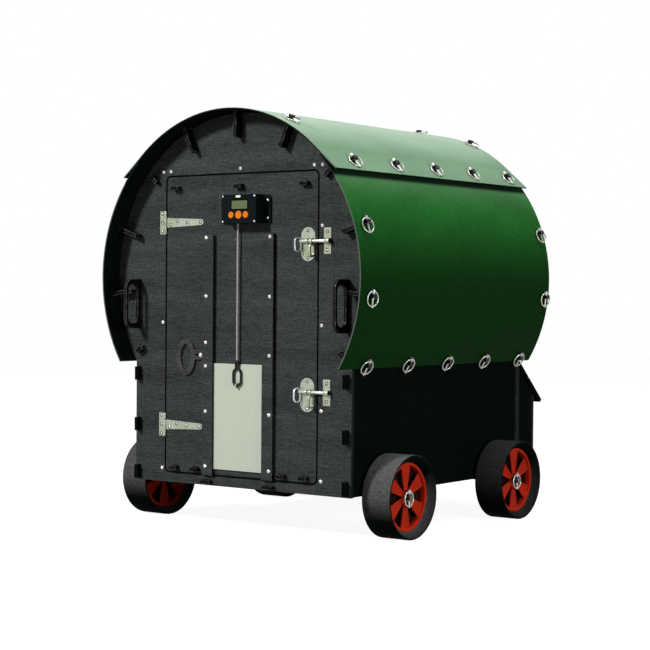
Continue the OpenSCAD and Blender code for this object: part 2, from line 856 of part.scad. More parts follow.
// T hinges
hinge_y = -knuckle_r;
middle_knuckle = strap_root - 6;
module hinge_flaps() {
  color(zinc) in_body() for (z = hinge_z) translate([hinge_x, hinge_y, z]) {
    for (s = [-1, 1]) {
      low = middle_knuckle / 2 + snug;
      translate([0, 0, s > 0 ? low : -flap_h / 2]) cylinder(r = knuckle_r, h = flap_h / 2 - low);
    }
    cylinder(r = hinge_pin_r, h = flap_h, center = true);
    difference() {
      box([-flap_w, 0], [knuckle_r - plate_metal, knuckle_r], [-flap_h / 2, flap_h / 2]);
      box([-knuckle_r - 1, 1], [-knuckle_r, knuckle_r + 1],
          [-middle_knuckle / 2 - snug, middle_knuckle / 2 + snug]);
    }
  }
}
module hinge_straps() {
  color(zinc) in_body() for (z = hinge_z) translate([hinge_x, hinge_y, z]) difference() {
    union() {
      cylinder(r = knuckle_r, h = middle_knuckle, center = true);
      upright(knuckle_r - plate_metal, plate_metal) {
        square([knuckle_r + 2, middle_knuckle / 2]);
        mirror([0, 1]) square([knuckle_r + 2, middle_knuckle / 2]);
        polygon([[knuckle_r + 1, -strap_root / 2], [strap_l - strap_tip_r, -strap_tip_r],
                 [strap_l - strap_tip_r, strap_tip_r], [knuckle_r + 1, strap_root / 2]]);
        translate([strap_l - strap_tip_r, 0]) circle(strap_tip_r);
      }
    }
    cylinder(r = hinge_pin_r + run_fit, h = 2 * flap_h, center = true);
  }
}

// Pad bolts
module bolt_plates() {
  color(zinc) in_body() for (z = bolt_z) translate([0, 0, z]) difference() {
    union() {
      translate([bolt_plate_x, 0, -9]) upright(-plate_metal, plate_metal) stadium(bolt_plate_w, bolt_plate_h);
      for (x = collar_x) {
        translate([0, bolt_y, 0]) rod_x(rod_r + 3, x - collar_w / 2, collar_w);
        box([x - collar_w / 2, x + collar_w / 2], [bolt_y, -plate_metal], [-rod_r - 3, rod_r + 3]);
      }
      sideways(staple_x, loop_t) translate([1 - plate_metal - staple_w / 2, -rod_r - 1 - staple_h / 2])
        difference() {
          stadium(staple_w, staple_h);
          stadium(staple_w - 2 * loop_band, staple_h - 2 * loop_band);
        }
    }
    translate([0, bolt_y, 0]) rod_x(rod_r + run_fit, bolt_plate_x - bolt_plate_w, 2 * bolt_plate_w);
  }
}
module bolt_rod(z) {
  ring_y = -plate_metal - clear - loop_w / 2;
  color(zinc) in_body() translate([0, 0, z]) {
    translate([0, bolt_y, 0]) rod_x(rod_r, rod_tip - rod_l, rod_l);
    sideways(rod_tip - rod_l, loop_t) translate([ring_y, -10]) difference() {
      stadium(loop_w, loop_h);
      stadium(loop_w - 2 * loop_band, loop_h - 2 * loop_band);
    }
  }
}
module bolt_lower() {
  bolt_rod(bolt_z[0]);
}
module bolt_upper() {
  bolt_rod(bolt_z[1]);
}
module bolt_keeps() {
  room = rod_r + 1;
  wall = room + plate_metal;
  color(zinc) in_body() for (z = bolt_z) translate([0, 0, z]) difference() {
    union() {
      for (s = [-1, 1]) {
        far = s * (wall + keep_foot);
        box([keep_x, keep_x + keep_w], [-plate_metal, 0], [min(s * room, far), max(s * room, far)]);
      }
      translate([0, bolt_y, 0]) rod_x(wall, keep_x + keep_w - keep_arch, keep_arch);
      box([keep_x + keep_w - keep_arch, keep_x + keep_w], [bolt_y, 0], [-wall, wall]);
    }
    translate([0, bolt_y, 0]) rod_x(room, keep_x - 1, keep_w + 2);
    box([keep_x - 1, keep_x + keep_w + 1], [bolt_y, 1], [-room, room]);
  }
}

// Screw heads
module coop_screws() {
  color(zinc) in_body() {
    for (x = top_screw_x) front_dome(screw_r, screw_h, x, 0, top_screw_z);
    for (z = side_screw_z) front_dome(screw_r, screw_h, panel_screw_x, 0, z);
    for (z = [side_screw_z[0], side_screw_z[2]]) front_dome(screw_r, screw_h, -panel_screw_x, 0, z);
    front_dome(screw_r, screw_h, panel_screw_x, 0, right_screw_z);
    for (z = hinge_z, dz = [-1, 0, 1])
      front_dome(small_screw_r, small_screw_h, hinge_x - flap_w / 2 - knuckle_r / 2, -plate_metal,
                 z + dz * (flap_h / 2 - 8));
    for (z = bolt_z, s = [-1, 1])
      front_dome(small_screw_r, small_screw_h, keep_x + keep_w / 2, -plate_metal,
                 z + s * (rod_r + 1 + plate_metal + keep_foot * 0.6));
  }
}
module door_screws() {
  color(zinc) in_body() {
    for (z = rail_screws_right) front_dome(screw_r, screw_h, rail_screw_x, -rail_t, z);
    for (z = rail_screws_left) front_dome(screw_r, screw_h, -rail_screw_x, -rail_t, z);
    translate([guide_x, 0, lock_z]) rod_y(guide_r, -lock_t - 2 * clear, lock_t + 2 * clear);
    front_dome(guide_head_r, screw_h, guide_x, -lock_t - 2 * clear, lock_z);
    for (z = hinge_z, spot = strap_screws)
      front_dome(small_screw_r, small_screw_h, hinge_x + strap_l * spot[0],
                 hinge_y + knuckle_r - plate_metal, z + spot[1]);
    for (z = bolt_z, s = [-1, 1])
      front_dome(small_screw_r, small_screw_h, bolt_plate_x, -plate_metal,
                 z - 9 + s * (bolt_plate_h / 2 - 10));
    translate([opener_x, 0, opener_z]) for (sx = [-1, 1], sz = [-1, 1]) {
      front_dome(small_screw_r, small_screw_h, sx * cover_screw[0], face_y, sz * cover_screw[1]);
      front_dome(small_screw_r + 1, small_screw_h + 1, sx * flange_screw[0], -flange_t, sz * flange_screw[1]);
    }
  }
}

// Wheels and axles, in ground coordinates
module wheel_place(side, y) {
  translate([0, front_y + y, wheel_r]) mirror([side < 0 ? 1 : 0, 0, 0])
    translate([wheel_x, 0, 0]) rotate([0, 90, 0]) children();
}
module tyre() {
  low = hub_r + sheet_gap;
  face = tyre_w / 2;
  color(black) rotate_extrude() difference() {
    intersection() {
      translate([low, -face]) square([wheel_r - low, tyre_w]);
      translate([wheel_r - face, 0]) round_rect(tyre_w, tyre_w, tyre_shoulder);
    }
    for (s = [0, 1]) mirror([0, s])
      polygon([[low - 1, rim_w / 2], [low, rim_w / 2], [low + tyre_flare, face], [low + tyre_flare, face + 1],
               [low - 1, face + 1]]);
  }
}
module spokes() {
  reach = hub_r - rim_t + 2;
  linear_extrude(spoke_t) for (i = [0 : spoke_count - 1]) rotate(i * 360 / spoke_count)
    polygon([[0, -spoke_root], [reach, -spoke_end], [reach, spoke_end], [0, spoke_root]]);
}
module hub() {
  boss_in = tyre_w / 2 + tyre_gap - 1;
  color(red) difference() {
    union() {
      difference() {
        cylinder(r = hub_r, h = rim_w, center = true);
        cylinder(r = hub_r - rim_t, h = 2 * rim_w, center = true);
      }
      for (s = [0, 1]) mirror([0, 0, s]) translate([0, 0, spoke_face - spoke_t]) spokes();
      cylinder(r = hub_r - rim_t + 2, h = web_t, center = true);
      translate([0, 0, -boss_in]) cylinder(r = boss_r, h = boss_in + boss_out);
    }
    cylinder(r = axle_r + run_fit, h = 4 * tyre_w, center = true);
  }
}
module axle(y) {
  color(zinc) translate([0, front_y + y, wheel_r]) difference() {
    rod_x(axle_r, -axle_end, 2 * axle_end);
    for (s = [-1, 1])
      translate([s * axle_pin_x, 0, 0]) cylinder(r = linch_r + clear, h = 4 * axle_r, center = true);
  }
}
module axle_front() {
  axle(axle_front_y);
}
module axle_rear() {
  axle(body_l - axle_rear_y);
}
module axle_washers() {
  color(zinc) for (s = [-1, 1], y = [axle_front_y, body_l - axle_rear_y])
    wheel_place(s, y) translate([0, 0, boss_out + snug]) difference() {
      cylinder(r = washer_r, h = washer_t);
      translate([0, 0, -1]) cylinder(r = axle_r + snug, h = washer_t + 2);
    }
}
module axle_linch_pins() {
  color(zinc) both_sides() for (y = [axle_front_y, body_l - axle_rear_y])
    translate([axle_pin_x, front_y + y, wheel_r + axle_r - 6]) rotate([0, 0, ring_tilt]) linch_pin();
}

// Nest box on the rear board
module nest_frame() {
  translate([0, body_l + nest_hinge_y, nest_hz]) rotate([-nest_slope, 0, 0]) children();
}
module nest_cheeks() {
  back = body_l + nest_d - board_t;
  color(board_grey) in_body() both_sides() sideways(nest_w / 2 - board_t, board_t)
    polygon([[body_l, nest_rise], [back, nest_rise], [back, nest_line(back, nest_under)],
             [body_l, nest_line(body_l, nest_under)]]);
}
module nest_back() {
  back = body_l + nest_d;
  color(board_grey) in_body()
    box([-nest_w / 2, nest_w / 2], [back - board_t, back], [nest_rise, nest_line(back, nest_under)]);
}
module nest_floor() {
  half = nest_w / 2 - board_t;
  color(board_grey) in_body()
    box([-half, half], [body_l, body_l + nest_d - board_t], [nest_rise, nest_rise + board_t]);
}
module nest_board(y0, y1) {
  box([-lid_w / 2, lid_w / 2], [y0, y1], [-lid_sink - lid_t, -lid_sink]);
}
module nest_lug(x, l, s, r) {
  difference() {
    union() {
      rod_x(nest_knuckle_r, x - l / 2, l);
      box([x - l / 2, x + l / 2], [min(0, s * 14), max(0, s * 14)], [-lid_sink - nest_lug_root, 0]);
    }
    rod_x(r, x - l, 2 * l);
  }
}
module nest_top() {
  gap = 2;
  color(dark_grey) in_body() {
    difference() {
      nest_frame() nest_board(-2 * nest_hinge_y, -gap);
      box([-body_w, body_w], [0, body_l], [0, 2 * arch_h]);
    }
    nest_frame() for (s = [-1, 1], e = [-1, 1])
      nest_lug(s * nest_knuckle_x + e * (nest_knuckle_l / 2 + nest_lug_gap + nest_lug_l / 2), nest_lug_l, -1,
               nest_pin_r + snug);
  }
}
module nest_lid() {
  gap = 2;
  color(dark_grey) in_body() nest_frame() {
    nest_board(gap, lid_l);
    for (s = [-1, 1]) nest_lug(s * nest_knuckle_x, nest_knuckle_l, 1, nest_pin_r + run_fit);
  }
}
module nest_hinge_pins() {
  l = nest_knuckle_l + 2 * nest_lug_l + 4 * nest_lug_gap;
  color(zinc) in_body() nest_frame() for (s = [-1, 1]) rod_x(nest_pin_r, s * nest_knuckle_x - l / 2, l);
}

module tyre_at(side, y) {
  wheel_place(side, y) tyre();
}
module hub_at(side, y) {
  wheel_place(side, y) hub();
}

front_panel();
rear_panel();
wall_left();
wall_right();
floor_panel();
rib_boards();
lap_boards();
roof_left();
roof_right();
roof_ridge();
roof_linch_pins();
handle_left();
handle_right();
door_stop();
coop_screws();
hinge_flaps();
bolt_keeps();
axle_front();
axle_rear();
axle_washers();
axle_linch_pins();
nest_cheeks();
nest_back();
nest_floor();
nest_top();
nest_hinge_pins();
nest_lid();
door_panel();
rail_left();
rail_right();
ledge_top();
ledge_bottom();
opener_case();
opener_cover();
opener_display();
opener_sensor();
lift_cord();
hinge_straps();
bolt_plates();
door_screws();
pop_plate();
plate_eye();
spring_hook();
hook_gate();
slide_lock();
bolt_upper();
bolt_lower();
button_left();
button_middle();
button_right();
tyre_at(-1, axle_front_y);  // tyre_front_left
tyre_at(1, axle_front_y);  // tyre_front_right
tyre_at(-1, body_l - axle_rear_y);  // tyre_rear_left
tyre_at(1, body_l - axle_rear_y);  // tyre_rear_right
hub_at(-1, axle_front_y);  // hub_front_left
hub_at(1, axle_front_y);  // hub_front_right
hub_at(-1, body_l - axle_rear_y);  // hub_rear_left
hub_at(1, body_l - axle_rear_y);  // hub_rear_right
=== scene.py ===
import bpy
import bmesh
import json
import math
from mathutils import Matrix, Vector


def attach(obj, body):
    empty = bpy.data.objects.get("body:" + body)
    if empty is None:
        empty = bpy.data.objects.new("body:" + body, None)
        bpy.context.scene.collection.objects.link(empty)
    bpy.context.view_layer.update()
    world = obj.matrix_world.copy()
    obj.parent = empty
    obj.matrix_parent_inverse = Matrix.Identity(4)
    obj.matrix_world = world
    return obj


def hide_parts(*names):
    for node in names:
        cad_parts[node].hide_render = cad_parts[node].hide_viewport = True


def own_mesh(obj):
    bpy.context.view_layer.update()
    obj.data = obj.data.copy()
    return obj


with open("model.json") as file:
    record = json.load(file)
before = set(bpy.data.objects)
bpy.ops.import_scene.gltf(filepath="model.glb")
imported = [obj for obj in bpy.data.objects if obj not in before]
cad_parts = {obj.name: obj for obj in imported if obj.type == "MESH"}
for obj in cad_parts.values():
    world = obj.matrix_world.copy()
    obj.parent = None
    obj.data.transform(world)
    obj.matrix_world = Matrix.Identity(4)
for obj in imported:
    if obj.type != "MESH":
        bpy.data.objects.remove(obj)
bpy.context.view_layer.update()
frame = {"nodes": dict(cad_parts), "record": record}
nodes = frame["nodes"]
print("frame loaded:", len(nodes), "nodes")

mm = 0.001
bodyShift = Vector((0.0, -0.5274277, 0.130))  # front face and bottom edge of the house


def onHouse(x, y, z):  # millimetres on the house to metres in the shared frame
    return Vector((x, y, z)) * mm + bodyShift


# working habits: nothing else selected, one active object
def freshStart():
    if bpy.context.object and bpy.context.object.mode != "OBJECT":
        bpy.ops.object.mode_set(mode="OBJECT")
    bpy.ops.object.select_all(action="DESELECT")


def grab(obj):
    freshStart()
    obj.select_set(True)
    bpy.context.view_layer.objects.active = obj


def openMesh(obj, kind):
    grab(obj)
    bpy.ops.object.mode_set(mode="EDIT")
    bpy.ops.mesh.select_mode(type=kind)
    bpy.ops.mesh.select_all(action="DESELECT")


def closeMesh():
    bpy.ops.object.mode_set(mode="OBJECT")


def settle():  # the active object's place, turn and scale go into its mesh
    bpy.ops.object.transform_apply(location=True, rotation=True, scale=True)
    return bpy.context.object


def pickFaces(obj, rule):
    bm = bmesh.from_edit_mesh(obj.data)
    for f in bm.faces:
        f.select_set(rule(f))
    bmesh.update_edit_mesh(obj.data)


def pickEdges(obj, rule):
    bm = bmesh.from_edit_mesh(obj.data)
    for e in bm.edges:
        e.select_set(rule(e))
    bmesh.update_edit_mesh(obj.data)


def applyModifiers(obj):
    grab(obj)
    for m in obj.modifiers[:]:
        bpy.ops.object.modifier_apply(modifier=m.name)


def cleanUp(obj, angle=35):
    openMesh(obj, "VERT")
    bpy.ops.mesh.select_all(action="SELECT")
    bpy.ops.mesh.remove_doubles(threshold=0.000005)
    bpy.ops.mesh.normals_make_consistent(inside=False)
    closeMesh()
    grab(obj)
    settle()
    bpy.ops.object.shade_smooth_by_angle(angle=math.radians(angle))


def setPiece(obj, name, body, slotName, material, *replaced):
    obj.name = name
    obj.data.name = name
    if not obj.data.materials:
        obj.data.materials.append(material)
    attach(obj, body)
    if replaced:
        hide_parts(*replaced)
    return obj


def spread(master, places):  # copies with their own meshes, joined to one piece
    copies = []
    for place in places:
        twin = master.copy()
        twin.data = master.data.copy()
        twin.matrix_world = place @ master.matrix_world
        bpy.context.scene.collection.objects.link(twin)
        copies.append(twin)
    joinAll(copies)
    whole = settle()
    bpy.data.objects.remove(master)
    return whole


def joinAll(parts):
    freshStart()
    for p in parts:
        p.select_set(True)
    bpy.context.view_layer.objects.active = parts[0]
    bpy.ops.object.join()
    return bpy.context.object


def manySided(face):
    return len(face.verts) > 4


def openRing(obj, steps):  # both end faces are drawn in by steps, and their openings joined
    openMesh(obj, "FACE")
    for thick, deep in steps:
        pickFaces(obj, manySided)
        bpy.ops.mesh.inset(thickness=thick * mm, depth=deep * mm, use_even_offset=True)
    pickFaces(obj, manySided)
    bpy.ops.mesh.delete(type="FACE")
    bpy.ops.mesh.select_mode(type="EDGE")
    pickEdges(obj, lambda e: len(e.link_faces) == 1)
    bpy.ops.mesh.bridge_edge_loops()
    closeMesh()


def roundRims(obj, width, segments):  # bevels the edges of the end faces
    openMesh(obj, "EDGE")
    pickEdges(obj, lambda e: any(manySided(f) for f in e.link_faces))
    bpy.ops.mesh.bevel(offset=width * mm, segments=segments, affect="EDGES")
    closeMesh()


def mergeFlats(obj):
    flat = obj.modifiers.new("flat", "DECIMATE")
    flat.decimate_type, flat.angle_limit = "DISSOLVE", math.radians(1)


def softEdges(obj, width, segments, angle):
    edge = obj.modifiers.new("soft", "BEVEL")
    edge.width, edge.segments, edge.limit_method = width * mm, segments, "ANGLE"
    edge.angle_limit = math.radians(angle)


def crossBar(radius, length, sides, place=(0, 0, 0)):  # a round bar along X
    freshStart()
    bpy.ops.mesh.primitive_cylinder_add(vertices=sides, radius=radius * mm, depth=length * mm,
                                        rotation=(0, math.radians(90), 0), location=place)
    return settle()


def carve(obj, tool, operation):  # the tool is used up
    cut = obj.modifiers.new("carve", "BOOLEAN")
    cut.operation = operation
    cut.object = tool
    applyModifiers(obj)
    bpy.data.objects.remove(tool)


def bentWire(points, radius, closed=False, sides=5):
    freshStart()
    path = bpy.data.curves.new("wire", "CURVE")
    path.dimensions = "3D"
    path.bevel_depth = radius
    path.bevel_resolution = sides
    path.use_fill_caps = not closed
    line = path.splines.new("POLY")
    line.points.add(len(points) - 1)
    for p, co in zip(line.points, points):
        p.co = (co[0], co[1], co[2], 1)
    line.use_cyclic_u = closed
    wire = bpy.data.objects.new("wire", path)
    bpy.context.scene.collection.objects.link(wire)
    grab(wire)
    bpy.ops.object.convert(target="MESH")
    return bpy.context.object


# the photograph's camera, fitted to the house
camera = {"lens": 95.609, "azimuth": 36.5386, "elevation": 1.0265, "roll": 0.4306,
          "place": (3.31697, -4.56880, 0.71990)}


def setCamera():
    az, el, ro = (math.radians(camera[k]) for k in ("azimuth", "elevation", "roll"))
    ahead = Vector((-math.sin(az) * math.cos(el), math.cos(az) * math.cos(el), -math.sin(el)))
    right = ahead.cross(Vector((0, 0, 1))).normalized()
    up = right.cross(ahead)
    right, up = math.cos(ro) * right + math.sin(ro) * up, math.cos(ro) * up - math.sin(ro) * right
    data = bpy.data.cameras.new("photoCamera")
    data.lens = camera["lens"]
    data.sensor_width = 36
    data.clip_end = 60
    cam = bpy.data.objects.new("photoCamera", data)
    bpy.context.scene.collection.objects.link(cam)
    turn = Matrix((right, up, -ahead)).transposed()
    cam.matrix_world = Matrix.Translation(camera["place"]) @ turn.to_4x4()
    bpy.context.scene.camera = cam


setCamera()
print("camera set")


# node helpers
def addNode(tree, kind, **settings):
    node = tree.nodes.new(kind)
    for key, value in settings.items():
        if hasattr(node, key):
            setattr(node, key, value)
        else:
            node.inputs[key].default_value = value
    return node


def mathNode(tree, operation, a, b=None):
    node = addNode(tree, "ShaderNodeMath", operation=operation)
    for i, value in enumerate((a, b)):
        if value is None:
            continue
        if isinstance(value, (int, float)):
            node.inputs[i].default_value = value
        else:
            tree.links.new(value, node.inputs[i])
    return node.outputs[0]


def plus(tree, a, b):
    return mathNode(tree, "ADD", a, b)


def minus(tree, a, b):
    return mathNode(tree, "SUBTRACT", a, b)


def times(tree, a, b):
    return mathNode(tree, "MULTIPLY", a, b)


def bare(tree, a):  # without its sign
    return mathNode(tree, "ABSOLUTE", a)


def larger(tree, a, b):
    return mathNode(tree, "MAXIMUM", a, b)


def axesOf(tree, socket):
    node = addNode(tree, "ShaderNodeSeparateXYZ")
    tree.links.new(socket, node.inputs[0])
    return node.outputs


def noiseNode(tree, vector, **settings):
    node = addNode(tree, "ShaderNodeTexNoise", **settings)
    tree.links.new(vector, node.inputs["Vector"])
    return node.outputs[0]


def directRays(tree):  # what is seen by the camera, in a gloss or through glass
    rays = addNode(tree, "ShaderNodeLightPath").outputs
    return larger(tree, larger(tree, rays["Is Camera Ray"], rays["Is Glossy Ray"]), rays["Is Transmission Ray"])


def spanNode(tree, value, low, high, toLow=0.0, toHigh=1.0, ease="LINEAR"):
    node = addNode(tree, "ShaderNodeMapRange", interpolation_type=ease)
    tree.links.new(value, node.inputs["Value"])
    for key, number in (("From Min", low), ("From Max", high), ("To Min", toLow), ("To Max", toHigh)):
        node.inputs[key].default_value = number
    return node.outputs["Result"]


def mixColour(tree, factor, a, b, blend="MIX"):
    node = addNode(tree, "ShaderNodeMix", data_type="RGBA", blend_type=blend)
    for socket, value in ((node.inputs[0], factor), (node.inputs[6], a), (node.inputs[7], b)):
        if hasattr(value, "is_linked"):
            tree.links.new(value, socket)
        else:
            socket.default_value = value
    return node.outputs[2]


def newGroup(name, numbers, gives):
    group = bpy.data.node_groups.new(name, "ShaderNodeTree")
    group.interface.new_socket(name="Vector", in_out="INPUT", socket_type="NodeSocketVector")
    for label, value in numbers.items():
        socket = group.interface.new_socket(name=label, in_out="INPUT", socket_type="NodeSocketFloat")
        socket.default_value = value
    for label in gives:
        group.interface.new_socket(name=label, in_out="OUTPUT", socket_type="NodeSocketFloat")
    return group, group.nodes.new("NodeGroupInput"), group.nodes.new("NodeGroupOutput")


# drawn-out grain of a pressed board: slow along one way, quick across it
def makeGrainGroup():
    group, start, end = newGroup("drawnGrain", {"Scale": 1.0}, ["Streak", "Speck", "Cloud"])
    for label, finer, rough in (("Streak", 1.0, 0.62), ("Speck", 7.0, 0.7), ("Cloud", 0.08, 0.5)):
        noise = addNode(group, "ShaderNodeTexNoise", Detail=6.0, Roughness=rough)
        group.links.new(start.outputs["Vector"], noise.inputs["Vector"])
        group.links.new(times(group, start.outputs["Scale"], finer), noise.inputs["Scale"])
        group.links.new(noise.outputs[0], end.inputs[label])
    return group


# rubbed edges, and on some finishes a painted highlight: where a rounded normal leaves the flat one
def makeEdgeRubGlintGroup():
    group, start, end = newGroup("edgeRubAndGlint", {"Width": 0.002, "Amount": 0.5}, ["Mask"])
    soft = addNode(group, "ShaderNodeBevel", samples=4)
    group.links.new(start.outputs["Width"], soft.inputs["Radius"])
    flat = addNode(group, "ShaderNodeNewGeometry")
    dot = addNode(group, "ShaderNodeVectorMath", operation="DOT_PRODUCT")
    group.links.new(soft.outputs[0], dot.inputs[0])
    group.links.new(flat.outputs["Normal"], dot.inputs[1])
    edge = spanNode(group, dot.outputs["Value"], 0.995, 0.82)
    patch = spanNode(group, noiseNode(group, start.outputs["Vector"], Scale=60.0, Detail=5.0), 0.35, 0.7)
    mask = times(group, times(group, edge, patch), start.outputs["Amount"])
    group.links.new(mask, end.inputs["Mask"])
    return group


# dust that settles on faces that look up
def makeDustGroup():
    group, start, end = newGroup("settledDust", {"Amount": 0.3}, ["Mask"])
    shape = addNode(group, "ShaderNodeNewGeometry")
    upward = spanNode(group, axesOf(group, shape.outputs["Normal"])["Z"], 0.2, 1.0)
    noise = noiseNode(group, start.outputs["Vector"], Scale=9.0, Detail=7.0, Roughness=0.65)
    patch = spanNode(group, noise, 0.4, 0.75)
    mask = times(group, times(group, upward, patch), start.outputs["Amount"])
    group.links.new(mask, end.inputs["Mask"])
    return group


grainGroup, edgeRubGlintGroup, dustGroup = makeGrainGroup(), makeEdgeRubGlintGroup(), makeDustGroup()


def startMaterial(name, **shaderValues):
    material = bpy.data.materials.new(name)
    material.use_nodes = True
    tree = material.node_tree
    tree.nodes.clear()
    out = tree.nodes.new("ShaderNodeOutputMaterial")
    shader = tree.nodes.new("ShaderNodeBsdfPrincipled")
    tree.links.new(shader.outputs[0], out.inputs[0])
    for key, value in shaderValues.items():
        shader.inputs[key.replace("_", " ")].default_value = value
    return material, tree, shader


def objectVector(tree, scale):
    place = addNode(tree, "ShaderNodeTexCoord")
    mapping = addNode(tree, "ShaderNodeMapping")
    mapping.inputs["Scale"].default_value = scale
    tree.links.new(place.outputs["Object"], mapping.inputs["Vector"])
    return mapping.outputs[0], place.outputs


def useGroup(tree, group, vector, **values):
    node = addNode(tree, "ShaderNodeGroup")
    node.node_tree = group
    tree.links.new(vector, node.inputs["Vector"])
    for key, value in values.items():
        node.inputs[key].default_value = value
    return node.outputs


def addBump(tree, shader, height, strength, distance):
    bump = addNode(tree, "ShaderNodeBump", Strength=strength, Distance=distance)
    tree.links.new(height, bump.inputs["Height"])
    tree.links.new(bump.outputs[0], shader.inputs["Normal"])


def opaque(colour, strength=1.0):
    return tuple(c * strength for c in colour) + (1.0,)


def varied(tree, tone, look):
    dark, light = (opaque(look["colour"], 1 + sign * look["vary"]) for sign in (-1, 1))
    return mixColour(tree, tone, dark, light)


# one finish maker for boards and mouldings; each finish has its own values
sideShadeDark, windowShadeBlack = (0.002, 0.0028, 0.0026), (0.004, 0.004, 0.0045)
pocketShadeGrime, paleDust = (0.008, 0.006, 0.006), (0.3, 0.29, 0.26)


def grainedFinish(name, look):
    material, tree, shader = startMaterial(name, **look.get("shader", {}))
    vector, place = objectVector(tree, look["stretch"])
    spot, facing = axesOf(tree, place["Object"]), axesOf(tree, place["Normal"])
    grain = useGroup(tree, grainGroup, vector, Scale=look["grain"])
    tone = plus(tree, times(tree, grain["Streak"], 0.6), times(tree, grain["Cloud"], 0.4))
    colour = varied(tree, spanNode(tree, tone, 0.32, 0.68), look)
    if look.get("fleck"):  # fine even mottle
        scale, depth = look["fleck"]
        fleck = noiseNode(tree, place["Object"], Scale=scale, Detail=3.0, Roughness=0.7)
        fleck = spanNode(tree, fleck, 0.36, 0.64)
        colour = mixColour(tree, fleck, colour, opaque((depth, depth, depth)), "MULTIPLY")
    if look.get("worn"):  # the running surface is dusty, the side walls are not; painted light and shade as well: paler where the tread faces up and on the front wheels, darker underneath and on the rear wheels
        tread = spanNode(tree, bare(tree, facing["X"]), 0.25, 0.85, 0.85, 0.0)
        for share in (spanNode(tree, grain["Streak"], 0.3, 0.62), spanNode(tree, facing["Z"], -0.5, 0.05),
                      spanNode(tree, spot["Y"], -0.2, 0.1, 1.0, 0.3)):
            tread = times(tree, tread, share)
        colour = mixColour(tree, tread, colour, opaque(look["worn"]))
    if look.get("cut"):  # painted shade: faces turned sideways, and on the panels also those facing up or down, are made dark
        side = bare(tree, facing[look["cut"][0]])
        for axis in look["cut"][1:]:
            side = larger(tree, side, bare(tree, facing[axis]))
        colour = mixColour(tree, spanNode(tree, side, 0.3, 0.66, 0.0, 0.95), colour, opaque(sideShadeDark))
    # edge colour: rubbed wear on most finishes, a painted highlight on some
    if look.get("edge"):
        edgeRubGlint = useGroup(tree, edgeRubGlintGroup, place["Object"], Width=look["edgeWidth"], Amount=look["edgeAmount"])
        colour = mixColour(tree, edgeRubGlint["Mask"], colour, opaque(look["edge"]))
    if look.get("surround"):  # painted shade: a black border round the window, standing for the shadow of its recess
        reach = None
        for axis, middle, half in look["surround"]:
            past = minus(tree, bare(tree, minus(tree, spot[axis], middle)), half)
            reach = past if reach is None else larger(tree, reach, past)
        colour = mixColour(tree, spanNode(tree, reach, -0.0002, 0.0002, 1.0, 0.0), colour, opaque(windowShadeBlack))
    if look.get("pocket"):  # grime and painted shade deep between the spokes
        inward = bare(tree, minus(tree, bare(tree, spot["X"]), look["pocket"]))
        colour = mixColour(tree, spanNode(tree, inward, 0.003, 0.02, 0.97, 0.0), colour, opaque(pocketShadeGrime))
    if look.get("dust"):
        dust = useGroup(tree, dustGroup, place["Object"], Amount=look["dust"])
        colour = mixColour(tree, dust["Mask"], colour, opaque(look.get("dustColour", paleDust)))
    tree.links.new(colour, shader.inputs["Base Color"])
    tree.links.new(spanNode(tree, grain["Speck"], 0.3, 0.7, *look["rough"]), shader.inputs["Roughness"])
    height = plus(tree, grain["Streak"], times(tree, grain["Speck"], 0.6))
    addBump(tree, shader, height, look["bump"], look["bumpDepth"])
    return material


boardLook = {"colour": (0.0505, 0.055, 0.055), "vary": 0.6, "stretch": (0.09, 1.0, 1.0), "grain": 260.0,
             "fleck": (210.0, 0.42), "rough": (0.5, 0.66), "bump": 0.35, "bumpDepth": 0.0006,
             "edge": (0.14, 0.145, 0.145), "edgeWidth": 0.0022, "edgeAmount": 0.75, "dust": 0.12, "cut": ("X",),
             "shader": {"IOR": 1.12}}
panelLook = {**boardLook, "cut": ("X", "Z"), "edgeAmount": 0.2, "dust": 0.0}
# the lock ring's lighter edge is a painted highlight
lockLook = {**boardLook, "cut": None, "colour": (0.066, 0.069, 0.067), "edge": (0.2, 0.205, 0.2),
            "edgeWidth": 0.003}
darkBoardLook = {"colour": (0.0018, 0.0034, 0.0028), "vary": 0.25, "stretch": (1.0, 0.09, 1.0), "grain": 240.0,
                 "rough": (0.42, 0.58), "bump": 0.3, "bumpDepth": 0.0005, "edge": (0.05, 0.052, 0.052),
                 "edgeWidth": 0.002, "edgeAmount": 0.4, "dust": 0.06, "shader": {"IOR": 1.02}}
# the tenons' light edge is a painted highlight
tenonLook = {**darkBoardLook, "colour": (0.0042, 0.0052, 0.0052), "edge": (0.3, 0.305, 0.3), "edgeWidth": 0.003,
             "edgeAmount": 0.9, "shader": {"IOR": 1.08}}
# the light edge on the black mouldings is a painted highlight
blackPlasticLook = {"colour": (0.004, 0.004, 0.0045), "vary": 0.2, "stretch": (1.0, 0.2, 1.0), "grain": 200.0,
                    "rough": (0.22, 0.34), "bump": 0.15, "bumpDepth": 0.0004, "edge": (0.36, 0.365, 0.365),
                    "edgeWidth": 0.003, "edgeAmount": 0.9, "dust": 0.08, "shader": {"IOR": 1.16}}
# the opener's light edge is a painted highlight
openerLook = {"colour": (0.0058, 0.0082, 0.0092), "vary": 0.15, "stretch": (1.0, 1.0, 1.0), "grain": 900.0,
              "rough": (0.42, 0.55), "bump": 0.2, "bumpDepth": 0.0003, "edge": (0.07, 0.075, 0.08),
              "edgeWidth": 0.0012, "edgeAmount": 0.4, "dust": 0.08, "shader": {"IOR": 1.06}}
coverLook = {**openerLook, "surround": (("X", 0.033, 0.0345), ("Z", 0.9855, 0.0175))}
tyreLook = {"colour": (0.0024, 0.0034, 0.0036), "vary": 0.35, "stretch": (1.0, 1.0, 1.0), "grain": 330.0,
            "worn": (0.132, 0.138, 0.132), "rough": (0.62, 0.82), "bump": 0.5, "bumpDepth": 0.0008,
            "edge": (0.05, 0.05, 0.05), "edgeWidth": 0.003, "edgeAmount": 0.3, "dust": 0.12,
            "dustColour": (0.12, 0.12, 0.11), "shader": {"IOR": 1.03}}
